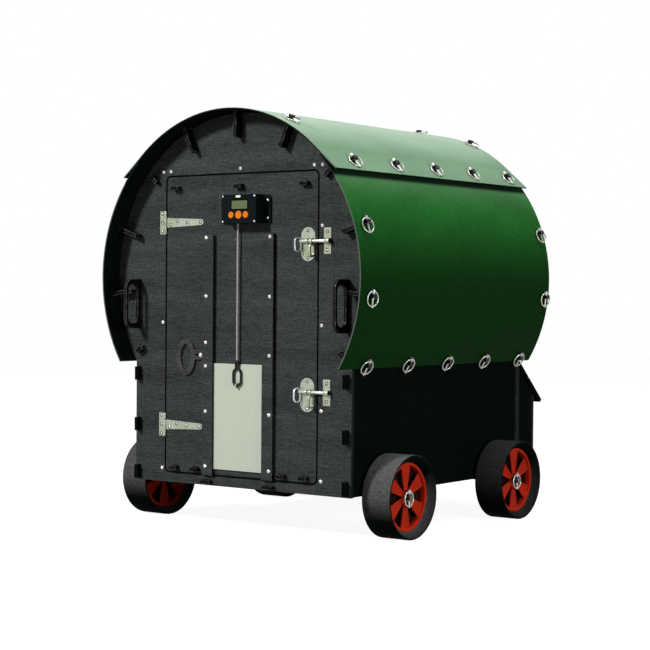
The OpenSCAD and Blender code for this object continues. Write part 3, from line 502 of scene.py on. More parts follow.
# the spokes' light red edge is a painted highlight
hubLook = {"colour": (0.35, 0.018, 0.0055), "vary": 0.16, "pocket": 0.4735, "stretch": (1.0, 1.0, 1.0),
           "grain": 130.0, "rough": (0.3, 0.42), "bump": 0.12, "bumpDepth": 0.0005, "edge": (0.66, 0.08, 0.035),
           "edgeWidth": 0.0022, "edgeAmount": 0.9, "dust": 0.06, "shader": {"IOR": 1.06}}
buttonLook = {"colour": (0.68, 0.178, 0.009), "vary": 0.06, "stretch": (1.0, 1.0, 1.0), "grain": 700.0,
              "rough": (0.36, 0.46), "bump": 0.1, "bumpDepth": 0.0002, "dust": 0.05,
              "shader": {"IOR": 1.12}}
popPlateLook = {"colour": (0.465, 0.51, 0.41), "vary": 0.035, "stretch": (1.0, 1.0, 0.12), "grain": 160.0,
                "rough": (0.42, 0.52), "bump": 0.06, "bumpDepth": 0.0003, "edge": (0.72, 0.73, 0.66),
                "edgeWidth": 0.0012, "edgeAmount": 0.6, "dust": 0.1, "shader": {"Specular_IOR_Level": 0.45}}
hookLook = {"colour": (0.005, 0.005, 0.0055), "vary": 0.2, "stretch": (1.0, 1.0, 1.0), "grain": 500.0,
            "rough": (0.3, 0.42), "bump": 0.1, "bumpDepth": 0.0002, "edge": (0.16, 0.16, 0.16),
            "edgeWidth": 0.001, "edgeAmount": 0.3, "shader": {"IOR": 1.25}}
recessLook = {"colour": (0.010, 0.010, 0.009), "vary": 0.4, "stretch": (1.0, 1.0, 1.0), "grain": 900.0,
              "rough": (0.5, 0.7), "bump": 0.1, "bumpDepth": 0.0002, "shader": {"IOR": 1.1}}

boardFinish = grainedFinish("pressedBoard", boardLook)
panelFinish = grainedFinish("pressedPanel", panelLook)
lockFinish = grainedFinish("lockBoard", lockLook)
darkBoardFinish = grainedFinish("darkBoard", darkBoardLook)
tenonFinish = grainedFinish("tenonBoard", tenonLook)
blackPlasticFinish = grainedFinish("blackPlastic", blackPlasticLook)
openerFinish = grainedFinish("openerShell", openerLook)
coverFinish = grainedFinish("openerCover", coverLook)
tyreFinish = grainedFinish("tyreRubber", tyreLook)
hubFinish = grainedFinish("redMoulding", hubLook)
buttonFinish = grainedFinish("orangeButton", buttonLook)
popPlateFinish = grainedFinish("palePlate", popPlateLook)
hookFinish = grainedFinish("blackHook", hookLook)
recessFinish = grainedFinish("screwRecess", recessLook)

# green roof sheet: a thin skin of colour, with a paler sawn edge at the ends
roofLook = {"colour": (0.0118, 0.096, 0.016), "low": (0.0036, 0.0210, 0.0037), "vary": 0.16,
            "skySheen": (0.33, 0.44, 0.34), "dust": (0.20, 0.26, 0.19), "sawn": (0.10, 0.115, 0.10),
            "inside": (0.0035, 0.006, 0.0045), "axisZ": 0.769, "lap": (34.9, 36.3), "lapRadius": (0.503, 0.505),
            "weave": (0.84, 1.16), "rough": (0.30, 0.42), "ripple": 5.0, "rippleDepth": 0.004}


def makeRoofFinish():
    look = roofLook
    material, tree, shader = startMaterial("greenSheet", IOR=1.03)
    vector, place = objectVector(tree, (1.0, 0.5, 1.0))
    spot, facing = axesOf(tree, place["Object"]), axesOf(tree, place["Normal"])
    grain = useGroup(tree, grainGroup, vector, Scale=90.0)
    colour = varied(tree, spanNode(tree, grain["Cloud"], 0.3, 0.7), look)
    downShade = spanNode(tree, facing["Z"], 0.56, -0.06, ease="SMOOTHSTEP")
    colour = mixColour(tree, downShade, colour, opaque(look["low"]))  # painted shade: darker where the sheet faces down
    dark, light = (opaque((w, w, w)) for w in look["weave"])
    fine = mixColour(tree, spanNode(tree, grain["Streak"], 0.3, 0.7), dark, light)
    colour = mixColour(tree, 1.0, colour, fine, "MULTIPLY")
    sky = mathNode(tree, "POWER", spanNode(tree, facing["Z"], 0.38, 0.92), 2.1)
    sky = times(tree, sky, spanNode(tree, grain["Cloud"], 0.2, 0.8, 0.75, 1.0))
    colour = mixColour(tree, sky, colour, opaque(look["skySheen"]))  # painted sheen where it faces the sky
    dust = useGroup(tree, dustGroup, place["Object"], Amount=0.05)
    colour = mixColour(tree, dust["Mask"], colour, opaque(look["dust"]))
    colour = mixColour(tree, spanNode(tree, bare(tree, facing["Y"]), 0.9, 0.98), colour, opaque(look["sawn"]))
    rise = minus(tree, spot["Z"], look["axisZ"])
    outward = plus(tree, times(tree, facing["X"], spot["X"]), times(tree, facing["Z"], rise))
    archShade = spanNode(tree, outward, -0.25, -0.12, 1.0, 0.0)  # painted shade: faces that look at the arch's middle are made near black
    colour = mixColour(tree, archShade, colour, opaque(look["inside"]))
    across = bare(tree, spot["X"])
    away = mathNode(tree, "SQRT", plus(tree, times(tree, rise, rise), times(tree, across, across)))
    lap = spanNode(tree, mathNode(tree, "ARCTAN2", rise, across), *(math.radians(a) for a in look["lap"]))
    lap = times(tree, lap, spanNode(tree, away, *look["lapRadius"], 0.93, 0.0))  # painted shadow under the ridge's edge
    colour = mixColour(tree, lap, colour, opaque(look["inside"]))
    tree.links.new(colour, shader.inputs["Base Color"])
    tree.links.new(spanNode(tree, grain["Streak"], 0.3, 0.7, *look["rough"]), shader.inputs["Roughness"])
    wave = noiseNode(tree, place["Object"], Scale=look["ripple"], Detail=1.0)
    addBump(tree, shader, plus(tree, wave, times(tree, grain["Speck"], 0.02)), 0.25, look["rippleDepth"])
    return material


roofFinish = makeRoofFinish()

# zinc plate: yellowish passivation in patches, spangle and dull rubbed spots
zincLook = {"colour": (0.37, 0.405, 0.335), "warm": (0.29, 0.315, 0.20), "dull": (0.13, 0.15, 0.105),
            "rough": (0.24, 0.46), "patch": 170.0, "spread": (0.48, 0.70, 0.75)}
linchLook = {"colour": (0.43, 0.44, 0.42), "warm": (0.34, 0.34, 0.29), "dull": (0.12, 0.125, 0.115),
             "rough": (0.14, 0.28), "patch": 260.0, "spread": (0.48, 0.72, 0.8)}
screwSteel = {**linchLook, "colour": (0.80, 0.80, 0.76), "warm": (0.74, 0.72, 0.62), "dull": (0.5, 0.5, 0.46),
              "rough": (0.2, 0.3)}
rodSteel = {**linchLook, "colour": (0.60, 0.62, 0.61), "warm": (0.5, 0.5, 0.45), "dull": (0.26, 0.27, 0.25),
            "rough": (0.16, 0.28)}
axleSteel = {**linchLook, "colour": (0.07, 0.068, 0.058), "warm": (0.09, 0.078, 0.045),
             "dull": (0.025, 0.025, 0.022)}


def makeZincFinish(name, look):
    material, tree, shader = startMaterial(name, Metallic=0.55)
    vector = objectVector(tree, (1.0, 1.0, 1.0))[0]
    grain = useGroup(tree, grainGroup, vector, Scale=look["patch"])
    spangle = addNode(tree, "ShaderNodeTexVoronoi", Scale=520.0)
    tree.links.new(vector, spangle.inputs["Vector"])
    stain = spanNode(tree, grain["Cloud"], 0.42, 0.66)
    colour = mixColour(tree, stain, opaque(look["colour"]), opaque(look["warm"]))
    low, high, most = look["spread"]
    worn = spanNode(tree, grain["Streak"], low, high, 0.0, most)
    colour = mixColour(tree, worn, colour, opaque(look["dull"]))
    tree.links.new(colour, shader.inputs["Base Color"])
    rough = spanNode(tree, spangle.outputs["Distance"], 0.0, 0.8, *look["rough"])
    tree.links.new(rough, shader.inputs["Roughness"])
    addBump(tree, shader, grain["Speck"], 0.08, 0.0003)
    return material


zincFinish = makeZincFinish("zincPlate", zincLook)
screwFinish = makeZincFinish("brightScrew", screwSteel)
rodFinish = makeZincFinish("boltRod", rodSteel)
linchFinish = makeZincFinish("linchSteel", linchLook)
axleFinish = makeZincFinish("axleSteel", axleSteel)

# braided cord: two crossing sets of strands from the tube's own UV map
cordLook = {"light": (0.52, 0.52, 0.495), "dark": (0.22, 0.22, 0.21), "strands": 8.0,
            "crossings": 2 * 0.412 / 0.009}


def makeCordFinish():
    look = cordLook
    material, tree, shader = startMaterial("braidedCord", Roughness=0.8, Specular_IOR_Level=0.2,
                                           Sheen_Weight=0.3)
    flat = axesOf(tree, addNode(tree, "ShaderNodeUVMap").outputs[0])
    across = times(tree, flat["X"], 2 * math.pi * look["strands"])
    along = times(tree, flat["Y"], 2 * math.pi * look["crossings"])
    oneWay = mathNode(tree, "COSINE", plus(tree, across, along))
    otherWay = mathNode(tree, "COSINE", minus(tree, across, along))
    braid = spanNode(tree, times(tree, oneWay, otherWay), -0.8, 0.9)
    colour = mixColour(tree, braid, opaque(look["dark"]), opaque(look["light"]))
    tree.links.new(colour, shader.inputs["Base Color"])
    addBump(tree, shader, braid, 0.5, 0.0004)
    return material


cordFinish = makeCordFinish()


# green-grey window with a faint row of blank cells, and a brushed silver oval beside it
displayLook = {"Color1": (0.112, 0.157, 0.068, 1), "Color2": (0.107, 0.150, 0.065, 1),
               "Mortar": (0.088, 0.125, 0.052, 1), "Mortar Size": 0.0005, "Brick Width": 0.0075,
               "Row Height": 0.012, "Mortar Smooth": 0.3}
sensorLook = {"dark": (0.62, 0.62, 0.6), "light": (0.85, 0.85, 0.83), "rough": (0.25, 0.45)}


def makeDisplayFinish():
    material, tree, shader = startMaterial("displayWindow", Roughness=0.18, IOR=1.2, Coat_Weight=0.1,
                                           Coat_Roughness=0.05)
    cells = addNode(tree, "ShaderNodeTexBrick", Scale=1.0)
    cells.offset = 0.0
    for key, value in displayLook.items():
        cells.inputs[key].default_value = value
    upright = addNode(tree, "ShaderNodeMapping")
    upright.inputs["Rotation"].default_value = (math.radians(90), 0, 0)
    tree.links.new(objectVector(tree, (1.0, 1.0, 1.0))[0], upright.inputs[0])
    tree.links.new(upright.outputs[0], cells.inputs["Vector"])
    tree.links.new(cells.outputs["Color"], shader.inputs["Base Color"])
    return material


def makeSensorFinish():
    look = sensorLook
    material, tree, shader = startMaterial("silverOval", Metallic=1.0)
    grain = useGroup(tree, grainGroup, objectVector(tree, (0.05, 1.0, 1.0))[0], Scale=1500.0)
    colour = mixColour(tree, grain["Streak"], opaque(look["dark"]), opaque(look["light"]))
    tree.links.new(colour, shader.inputs["Base Color"])
    tree.links.new(spanNode(tree, grain["Streak"], 0.3, 0.7, *look["rough"]), shader.inputs["Roughness"])
    return material


displayFinish, sensorFinish = makeDisplayFinish(), makeSensorFinish()
print("finishes made")

# carried-over solids: by material slot, and some nodes by themselves
slotFinish = {"board": boardFinish, "dark_board": darkBoardFinish, "black_plastic": blackPlasticFinish,
              "roof_sheet": roofFinish, "zinc": zincFinish, "pop_plate": popPlateFinish,
              "black_metal": hookFinish, "cord": cordFinish, "opener": openerFinish, "display": displayFinish,
              "sensor": sensorFinish, "button": buttonFinish, "tyre": tyreFinish, "hub": hubFinish}
nodeFinish = {"opener_cover": coverFinish, "roof_linch_pins": linchFinish, "axle_linch_pins": linchFinish,
              "axle_front": axleFinish, "axle_rear": axleFinish, "axle_washers": axleFinish,
              "nest_cheeks": darkBoardFinish, "front_panel": panelFinish, "door_panel": panelFinish,
              "ledge_top": tenonFinish, "ledge_bottom": tenonFinish, "floor_panel": tenonFinish}
for part in frame["record"]["subparts"]:
    solid = nodes[part["node"]]
    solid.data.materials.clear()
    solid.data.materials.append(nodeFinish.get(part["node"], slotFinish[part["material_slot"]]))

# lift cord from the opener down to the spring hook
liftCord = {"top": onHouse(0, -10, 800), "length": 0.412, "diameter": 0.006, "sides": 24, "rings": 320,
            "lobes": 6, "relief": 0.055, "lay": 0.008, "pathSteps": 24, "keep": 0.102}


def makeLiftCord():
    c = liftCord
    freshStart()
    middle = c["top"] - Vector((0, 0, c["length"] / 2))
    bpy.ops.mesh.primitive_cylinder_add(vertices=c["sides"], radius=c["diameter"] / 2, depth=c["length"],
                                        location=middle, end_fill_type="TRIFAN")
    cord = settle()
    openMesh(cord, "EDGE")
    pickEdges(cord, lambda e: abs(e.verts[0].co.z - e.verts[1].co.z) > c["length"] / 2)
    bpy.ops.mesh.subdivide(number_cuts=c["rings"])
    closeMesh()
    turns = 2 * math.pi / c["lay"]
    for v in cord.data.vertices:  # strands stand out where they cross on top
        dx, dy = v.co.x - middle.x, v.co.y - middle.y
        r = math.hypot(dx, dy)
        if r < c["diameter"] / 4:
            continue
        a, along = math.atan2(dy, dx), (v.co.z - middle.z) * turns
        lift = math.cos(c["lobes"] * a + along) * math.cos(c["lobes"] * a - along)
        k = 1 - c["relief"] * (0.5 - 0.5 * lift)
        v.co.x, v.co.y = middle.x + dx * k, middle.y + dy * k
    cleanUp(cord, 70)
    setPiece(cord, "liftCord", "main_door", "cord", cordFinish, "lift_cord")
    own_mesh(cord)


makeLiftCord()
print("lift cord made")

# spring hook: one bent bar with a pinched eye, and its sprung gate
springHook = {"y": -10, "bar": 3.6, "half": 14.4, "low": 325.6, "high": 347.6, "eye": 5.2, "eyeZ": 379.2,
              "gap": (321.6, 350.2), "waist": ((4.3, 364.5), (4.0, 369), (4.3, 374)), "sleeve": 5.6,
              "sleeveZ": (361.5, 362.3, 364, 367, 370, 371.7, 372.5), "gate": 2.8,
              "gateZ": (322.6, 325, 332, 342, 347, 349.4)}


def arcPoints(cx, cz, r, fromDeg, toDeg, count):
    angles = [math.radians(fromDeg + (toDeg - fromDeg) * i / count) for i in range(count + 1)]
    return [(cx + r * math.cos(a), cz + r * math.sin(a)) for a in angles]


def hookWire(points, radius):
    wire = bentWire([onHouse(x, springHook["y"], z) for x, z in points], radius * mm, sides=6)
    cleanUp(wire, 60)
    return wire


def makeSpringHook():
    s = springHook
    h = s["half"]
    line = [(h, s["gap"][1])] + arcPoints(0, s["high"], h, 14, 66, 8) + list(s["waist"])
    line += arcPoints(0, s["eyeZ"], s["eye"], -28, 208, 14) + [(-x, z) for x, z in reversed(s["waist"])]
    line += arcPoints(0, s["high"], h, 114, 180, 10) + arcPoints(0, s["low"], h, 180, 360, 24)
    line[-1] = (h, s["gap"][0])
    hook = joinAll([hookWire(line, s["bar"]), hookWire([(0, z) for z in s["sleeveZ"]], s["sleeve"])])
    setPiece(hook, "springHook", "pop_door", "black_metal", hookFinish, "spring_hook")
    gate = hookWire([(h, z) for z in s["gateZ"]], s["gate"])
    setPiece(gate, "hookGate", "gate", "black_metal", hookFinish, "hook_gate")


makeSpringHook()
print("spring hook made")

# slide lock: an oval finger ring and a slotted stem, one moulding
slideLock = {"ring": (-208.5, 392), "wide": 73, "tall": 111, "band": 15, "y": (-7.4, -0.4), "soft": 2.4,
             "stem": (-184, -113.5), "stemZ": (386, 414), "slotX": (-167, -147), "slotR": 3.4, "slotZ": 400}


def boxBlock(x, y, z):
    freshStart()
    bpy.ops.mesh.primitive_cube_add(size=1, location=onHouse(sum(x) / 2, sum(y) / 2, sum(z) / 2),
                                    scale=((x[1] - x[0]) * mm, (y[1] - y[0]) * mm, (z[1] - z[0]) * mm))
    return settle()


def postBlock(x, z, radius, y, sides=48):
    freshStart()
    bpy.ops.mesh.primitive_cylinder_add(vertices=sides, radius=radius * mm, depth=(y[1] - y[0]) * mm,
                                        rotation=(math.radians(90), 0, 0), location=onHouse(x, sum(y) / 2, z))
    return settle()


def makeSlideLock():
    k = slideLock
    ring = postBlock(*k["ring"], k["tall"] / 2, k["y"], 96)
    middle = onHouse(k["ring"][0], 0, 0).x
    for v in ring.data.vertices:  # a circle drawn in to an oval
        v.co.x = middle + (v.co.x - middle) * k["wide"] / k["tall"]
    openRing(ring, [(k["band"], 0)])
    openMesh(ring, "FACE")
    bpy.ops.mesh.select_all(action="SELECT")
    bpy.ops.mesh.normals_make_consistent(inside=False)
    closeMesh()
    carve(ring, boxBlock(k["stem"], k["y"], k["stemZ"]), "UNION")
    deep = (k["y"][0] - 2, k["y"][1] + 2)
    carve(ring, boxBlock(k["slotX"], deep, (k["slotZ"] - k["slotR"], k["slotZ"] + k["slotR"])), "DIFFERENCE")
    for x in k["slotX"]:
        carve(ring, postBlock(x, k["slotZ"], k["slotR"], deep), "DIFFERENCE")
    mergeFlats(ring)
    softEdges(ring, k["soft"], 3, 50)
    applyModifiers(ring)
    cleanUp(ring)
    setPiece(ring, "slideLock", "lock", "board", lockFinish, "slide_lock")


makeSlideLock()
print("slide lock made")

# pad bolts: a round rod with a bent pull loop
boltHeights, hingeHeights = (302, 745), (179, 808.5)
padBolt = {"y": -9, "radius": 5.0, "from": 234, "to": 326, "loopY": -16.4, "loopDrop": -10, "loopWire": 2.6,
           "loopWide": 21.5, "loopTall": 40.5, "loopTurn": 20, "sides": 40, "round": 1.4}


def makeBolt(z, name, body, node):
    b = padBolt
    rod = crossBar(b["radius"], b["to"] - b["from"], b["sides"], onHouse((b["from"] + b["to"]) / 2, b["y"], z))
    roundRims(rod, b["round"], 4)
    half = b["loopWide"] / 2
    flat = b["loopTall"] / 2 - half
    line = arcPoints(-half, z + b["loopDrop"] + flat, half, 0, 180, 18)
    line += arcPoints(-half, z + b["loopDrop"] - flat, half, 180, 360, 18)
    turn = math.radians(b["loopTurn"])  # the loop swings out to the left of the rod
    rootX, rootY = b["from"] + b["loopWire"], b["loopY"] + half
    points = [onHouse(rootX + r * math.sin(turn), rootY + r * math.cos(turn), level) for r, level in line]
    bolt = joinAll([rod, bentWire(points, b["loopWire"] * mm, closed=True)])
    cleanUp(bolt, 40)
    setPiece(bolt, name, body, "zinc", rodFinish, node)


makeBolt(boltHeights[1], "upperBolt", "upper_bolt", "bolt_upper")
makeBolt(boltHeights[0], "lowerBolt", "lower_bolt", "bolt_lower")
print("bolts made")

# domed screws with a cross recess
screwLook = {"recess": 0.8, "wideRecess": 1.0, "slot": 0.2, "depth": 0.42, "shadeRing": 1.7, "shadeRingLap": 0.6,
             "shadeRingTall": 0.5, "shadeDepth": 0.12, "shadeReach": 0.6, "shank": 0.42}


def dressScrew(obj):
    for finish in (screwFinish, recessFinish):
        obj.data.materials.append(finish)


def screwMaster(radius, height, shank=0.0, wide=1.0):
    s = screwLook
    ball = (radius * radius + height * height) / (2 * height)
    recess = s["wideRecess" if wide > 1 else "recess"]
    freshStart()
    bpy.ops.mesh.primitive_uv_sphere_add(segments=28, ring_count=30, radius=ball * mm,
                                         location=(0, 0, (height - ball) * mm))
    head = settle()
    openMesh(head, "VERT")
    bpy.ops.mesh.select_all(action="SELECT")
    bpy.ops.mesh.bisect(plane_co=(0, 0, 0), plane_no=(0, 0, 1), use_fill=True, clear_inner=True)
    closeMesh()
    for turn in (0, 90):
        freshStart()
        bpy.ops.mesh.primitive_cube_add(size=1, location=(0, 0, height * mm),
                                        rotation=(0, 0, math.radians(turn)),
                                        scale=(radius * recess * mm, radius * s["slot"] * wide * mm,
                                               2 * height * s["depth"] * mm))
        carve(head, settle(), "DIFFERENCE")
    for f in head.data.polygons:  # painted shade: the recess is made dark
        off = math.hypot(f.center.x, f.center.y) / mm
        dome = math.sqrt(max(ball * ball - off * off, 0)) - ball + height
        shadedRecess = 0.05 < f.center.z / mm < dome - s["shadeDepth"] and off < radius * s["shadeReach"]
        f.material_index = 1 if shadedRecess else 0
    if wide > 1:  # painted shade: a dark countersink ring round the smaller heads
        freshStart()
        bpy.ops.mesh.primitive_cone_add(vertices=28, radius1=(radius + s["shadeRing"]) * mm,
                                        radius2=(radius - s["shadeRingLap"]) * mm, depth=s["shadeRingTall"] * mm,
                                        location=(0, 0, s["shadeRingTall"] / 2 * mm))
        shadeRing = settle()
        for f in shadeRing.data.polygons:
            f.material_index = 1
        dressScrew(shadeRing)
        dressScrew(head)
        head = joinAll([head, shadeRing])
    if shank:
        freshStart()
        bpy.ops.mesh.primitive_cylinder_add(vertices=24, radius=radius * s["shank"] * mm, depth=shank * mm,
                                            location=(0, 0, -shank / 2 * mm))
        head = joinAll([head, bpy.context.object])
    if not head.data.materials:
        dressScrew(head)
    cleanUp(head)
    return head


def screwGroup(spots, *sizes, **more):  # each screw is turned a little further than the last
    places = [Matrix.Translation(onHouse(*spot)) @ Matrix.Rotation(math.radians(90), 4, "X")
              @ Matrix.Rotation(math.radians(37 * i), 4, "Z") for i, spot in enumerate(spots)]
    return spread(screwMaster(*sizes, **more), places)


pair, corners = (-1, 1), [(sx, sz) for sx in (-1, 1) for sz in (-1, 1)]
panelSpots = [(x, 0, 967.5) for x in (-310, -280, 0, 280, 310)] + [(310, 0, z) for z in (42, 248, 498, 790)]
panelSpots += [(-310, 0, z) for z in (42, 498)]
flapSpots = [(-310.5, -2.5, z + d) for z in hingeHeights for d in (-28, 0, 28)]
keepSpots = [(331, -2.5, z + s * 26.5) for z in boltHeights for s in pair]
coopScrews = joinAll([screwGroup(panelSpots, 6, 4), screwGroup(flapSpots + keepSpots, 4.0, 2.4, wide=2.0)])
setPiece(coopScrews, "panelScrews", "coop", "zinc", screwFinish, "coop_screws")

railSpots = [(124.4, -11.5, z) for z in (60, 228, 404.5, 581, 760)]
railSpots += [(-124.4, -11.5, z) for z in (60, 228, 367, 439, 581, 760)]
strapSpots = [(-296.5 + 153 * share, -2.5, z + off) for z in hingeHeights
              for share, off in ((0.13, -7), (0.32, 4), (0.57, 0), (0.92, 0))]
plateSpots = [(260.5, -2.5, z - 9 + s * 40) for z in boltHeights for s in pair]
coverSpots = [(30 + sx * 61, -45, 843 + sz * 38) for sx, sz in corners]
flangeSpots = [(30 + sx * 81, -6, 843 + sz * 26.5) for sx, sz in corners]
guideSpot = (-147, -7.8, 400)
doorScrews = joinAll([screwGroup(railSpots, 6, 4), screwGroup(strapSpots + plateSpots, 4.0, 2.4, wide=2.0),
                      screwGroup(coverSpots, 3, 1.6), screwGroup(flangeSpots, 4, 2.6),
                      screwGroup([guideSpot], 7, 4, 7.8)])
setPiece(doorScrews, "doorScrews", "main_door", "zinc", screwFinish, "door_screws")
print("screws made")

# tyres: a wide flat tread, narrow shoulders, a side wall that dishes in to the rim
tyre = {"radius": 125, "wide": 100, "shoulder": 3.8, "sides": 112,
        "mouth": ((0.9, 0.0), (2.6, -2.2), (4.2, -5.0), (5.4, -7.4), (5.4, -7.4))}


def tyreMaster():
    t = tyre
    rubber = crossBar(t["radius"], t["wide"], t["sides"])
    roundRims(rubber, t["shoulder"], 5)
    openRing(rubber, t["mouth"])
    cleanUp(rubber, 40)
    return rubber


# wheel centre: recessed rim, six fan spokes on both sides of a thin web, boss
hub = {"rim": 102, "rimThick": 9, "rimWide": 56, "spokes": 6, "spokeFace": 21.5, "spokeThick": 6,
       "spokeRoot": 4, "spokeEnd": 24, "spokeLow": 13, "spokeRim": 2.0, "spokeDish": (1.2, -2.4),
       "spokeSoft": 0.9, "web": 4, "boss": 16, "bossOut": 23, "bossIn": 61.5, "bore": 10.05, "lap": 2}
wheels = {"x": 473.5, "y": {"front": 172, "rear": 798}, "sides": {"left": -1, "right": 1}}


def ringTube(outer, inner, low, high, sides, soft):
    ring = crossBar(outer, high - low, sides, ((high + low) / 2 * mm, 0, 0))
    openRing(ring, [(outer - inner, 0)])
    softEdges(ring, soft, 3, 50)
    applyModifiers(ring)
    cleanUp(ring)
    return ring


def hubMaster():
    h = hub
    rim = ringTube(h["rim"], h["rim"] - h["rimThick"], -h["rimWide"] / 2, h["rimWide"] / 2, 96, 1.6)
    boss = ringTube(h["boss"], h["bore"], -h["bossIn"], h["bossOut"], 48, 1.2)
    reach, low = h["rim"] - h["rimThick"] + h["lap"], h["spokeLow"]
    freshStart()
    centre = h["spokeFace"] - h["spokeThick"] / 2
    bpy.ops.mesh.primitive_cube_add(size=1, scale=(h["spokeThick"] * mm, 2 * mm, (reach - low) * mm),
                                    location=(centre * mm, 0, (low + reach) / 2 * mm))
    spoke = settle()
    for v in spoke.data.vertices:  # the fan: narrow at the boss, wide at the rim
        wide = h["spokeRoot"] + (h["spokeEnd"] - h["spokeRoot"]) * (v.co.z / mm) / reach
        v.co.y = math.copysign(wide * mm, v.co.y)
    openMesh(spoke, "FACE")
    pickFaces(spoke, lambda f: f.normal.x > 0.9)
    for thick, deep in ((h["spokeRim"], 0), h["spokeDish"]):
        bpy.ops.mesh.inset(thickness=thick * mm, depth=deep * mm)
    closeMesh()
    softEdges(spoke, h["spokeSoft"], 2, 30)
    applyModifiers(spoke)
    cleanUp(spoke)
    web = ringTube(reach, h["boss"] - h["lap"], -h["web"] / 2, h["web"] / 2, 96, 0.4)
    turns = [Matrix.Rotation(math.pi * back, 4, "Z") @ Matrix.Rotation(2 * math.pi * i / h["spokes"], 4, "X")
             for back in (0, 1) for i in range(h["spokes"])]
    return joinAll([rim, boss, web, spread(spoke, turns)])


def copyWheel(master, side, y):
    grab(master)
    bpy.ops.object.duplicate()
    turn = Matrix.Identity(4) if side > 0 else Matrix.Rotation(math.pi, 4, "Z")
    place = Vector((side * wheels["x"] * mm, y * mm + bodyShift.y, tyre["radius"] * mm))
    bpy.context.object.matrix_world = Matrix.Translation(place) @ turn
    return settle()


rubberMaster, centreMaster = tyreMaster(), hubMaster()
for end, y in wheels["y"].items():
    for word, side in wheels["sides"].items():
        where, label = end + "_" + word, end.capitalize() + word.capitalize()
        for master, kind, finish in ((rubberMaster, "tyre", tyreFinish), (centreMaster, "hub", hubFinish)):
            twin = copyWheel(master, side, y)
            setPiece(twin, kind + label, "wheel_" + where, kind, finish, kind + "_" + where)
for master in (rubberMaster, centreMaster):
    bpy.data.objects.remove(master)
print("wheels made")

# opener buttons: soft domed caps
buttonCap = {"y": (-47.5, -40.7), "z": 825, "round": 1.6, "dish": ((0.28, 0.0), (0.2, -0.35), (0.15, -0.15)),
             "spots": (("left", 2, 10), ("middle", 31, 12), ("right", 58, 10))}


def isFront(face):
    return manySided(face) and face.normal.y < -0.9


def makeButton(word, x, radius):
    b = buttonCap
    cap = postBlock(x, b["z"], radius, b["y"])
    openMesh(cap, "EDGE")
    pickEdges(cap, lambda e: any(isFront(f) for f in e.link_faces))
    bpy.ops.mesh.bevel(offset=b["round"] * mm, segments=5, affect="EDGES")
    bpy.ops.mesh.select_mode(type="FACE")
    for share, deep in b["dish"]:  # a shallow finger dish
        pickFaces(cap, isFront)
        bpy.ops.mesh.inset(thickness=radius * share * mm, depth=deep * mm)
    closeMesh()
    cleanUp(cap, 50)
    setPiece(cap, word + "ButtonCap", word + "_button", "button", buttonFinish, "button_" + word)


for word, x, radius in buttonCap["spots"]:
    makeButton(word, x, radius)
print("buttons made")

# grab handles: an upright plate with a round nose, a finger slot and two tenons through the board
grabHandle = {"x": (400, 410), "y": (-70, 0), "z": (477, 633), "nose": 27, "soft": 2.8, "tenonY": (-1, 12),
              "slotY": (-60, -17), "slotZ": (495, 615), "slotRound": 18.5, "tenonZ": ((481, 507), (603, 629))}


def roundBlock(x, y, z, radius, rule):  # a block with its chosen long edges rounded
    block = boxBlock(x, y, z)
    openMesh(block, "EDGE")
    pickEdges(block, lambda e: abs(e.verts[0].co.x - e.verts[1].co.x) > 0.001 and rule(e.verts[0].co))
    bpy.ops.mesh.bevel(offset=radius * mm, segments=10, affect="EDGES")
    closeMesh()
    return block


def makeHandle(side, name, node):
    h = grabHandle
    x = sorted(side * e for e in h["x"])
    middle = onHouse(0, sum(h["y"]) / 2, 0).y
    plate = roundBlock(x, h["y"], h["z"], h["nose"], lambda co: co.y < middle)
    wide = (x[0] - 5, x[1] + 5)
    carve(plate, roundBlock(wide, h["slotY"], h["slotZ"], h["slotRound"], lambda co: True), "DIFFERENCE")
    for z in h["tenonZ"]:
        carve(plate, boxBlock(x, h["tenonY"], z), "UNION")
    softEdges(plate, h["soft"], 3, 40)
    applyModifiers(plate)
    cleanUp(plate)
    setPiece(plate, name, "coop", "black_plastic", blackPlasticFinish, node)


makeHandle(-1, "grabHandleLeft", "handle_left")
makeHandle(1, "grabHandleRight", "handle_right")
print("handles made")

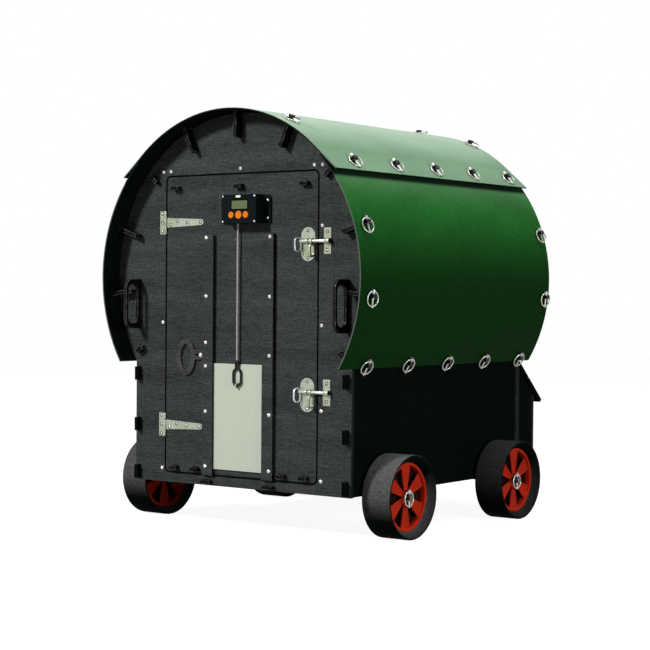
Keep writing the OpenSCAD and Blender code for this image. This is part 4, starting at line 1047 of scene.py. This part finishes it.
# rounded arrises on the carried-over solids
softArrises = {1.5: ["front_panel", "door_panel"],
               0.9: ["rear_panel", "wall_left", "wall_right", "rail_left", "rail_right", "nest_lid", "nest_top",
                     "nest_back", "nest_cheeks", "rib_boards", "lap_boards", "ledge_top", "ledge_bottom",
                     "floor_panel"],
               1.2: ["opener_cover", "opener_case"],
               0.5: ["pop_plate", "hinge_flaps", "hinge_straps", "bolt_plates", "bolt_keeps"]}
for width, names in softArrises.items():
    for name in names:
        nodes[name].modifiers.new("weld", "WELD").merge_threshold = 0.00001
        mergeFlats(nodes[name])
        softEdges(nodes[name], width, 2, 40)
print("arrises softened")

# stage, lights and view
stage = {"floorSize": 30, "floorShade": 0.25, "white": 0.92, "worldFill": 0.07, "aim": Vector((0, 0, 0.6)),
         "key": {"place": (-2.4, -5.5, 4.1), "size": 1.0, "power": 465},
         "top": {"place": (1.2, 0.0, 4.6), "size": 2.6, "power": 150},
         "fill": {"place": (4.7, -0.9, 1.0), "size": 2.0, "power": 135}}


def makeFloor():
    freshStart()
    bpy.ops.mesh.primitive_plane_add(size=stage["floorSize"])
    floor = bpy.context.object
    floor.name = "paleFloor"
    material, tree, shader = startMaterial("paleFloor", Roughness=0.9, Specular_IOR_Level=0.1)
    s = stage["floorShade"]
    shader.inputs["Base Color"].default_value = (s, s, s, 1)
    tree.links.new(times(tree, directRays(tree), stage["white"]), shader.inputs["Emission Strength"])
    shader.inputs["Emission Color"].default_value = (1, 1, 1, 1)
    floor.data.materials.append(material)


def makeWorld():
    world = bpy.data.worlds.new("paleRoom")
    bpy.context.scene.world = world
    world.use_nodes = True
    tree = world.node_tree
    tree.nodes.clear()
    out = tree.nodes.new("ShaderNodeOutputWorld")
    back = tree.nodes.new("ShaderNodeBackground")
    tree.links.new(spanNode(tree, directRays(tree), 0.0, 1.0, stage["worldFill"], 1.0), back.inputs["Strength"])
    back.inputs["Color"].default_value = (1, 1, 1, 1)
    tree.links.new(back.outputs[0], out.inputs[0])


def makeLamp(name, look):
    data = bpy.data.lights.new(name, "AREA")
    data.shape = "DISK"
    data.size = look["size"]
    data.energy = look["power"]
    lamp = bpy.data.objects.new(name, data)
    bpy.context.scene.collection.objects.link(lamp)
    lamp.location = look["place"]
    lamp.rotation_euler = (stage["aim"] - Vector(look["place"])).to_track_quat("-Z", "Y").to_euler()


makeFloor()
makeWorld()
for name in ("key", "top", "fill"):
    makeLamp(name + "Lamp", stage[name])
bpy.context.scene.view_settings.view_transform = "Standard"
print("stage set")
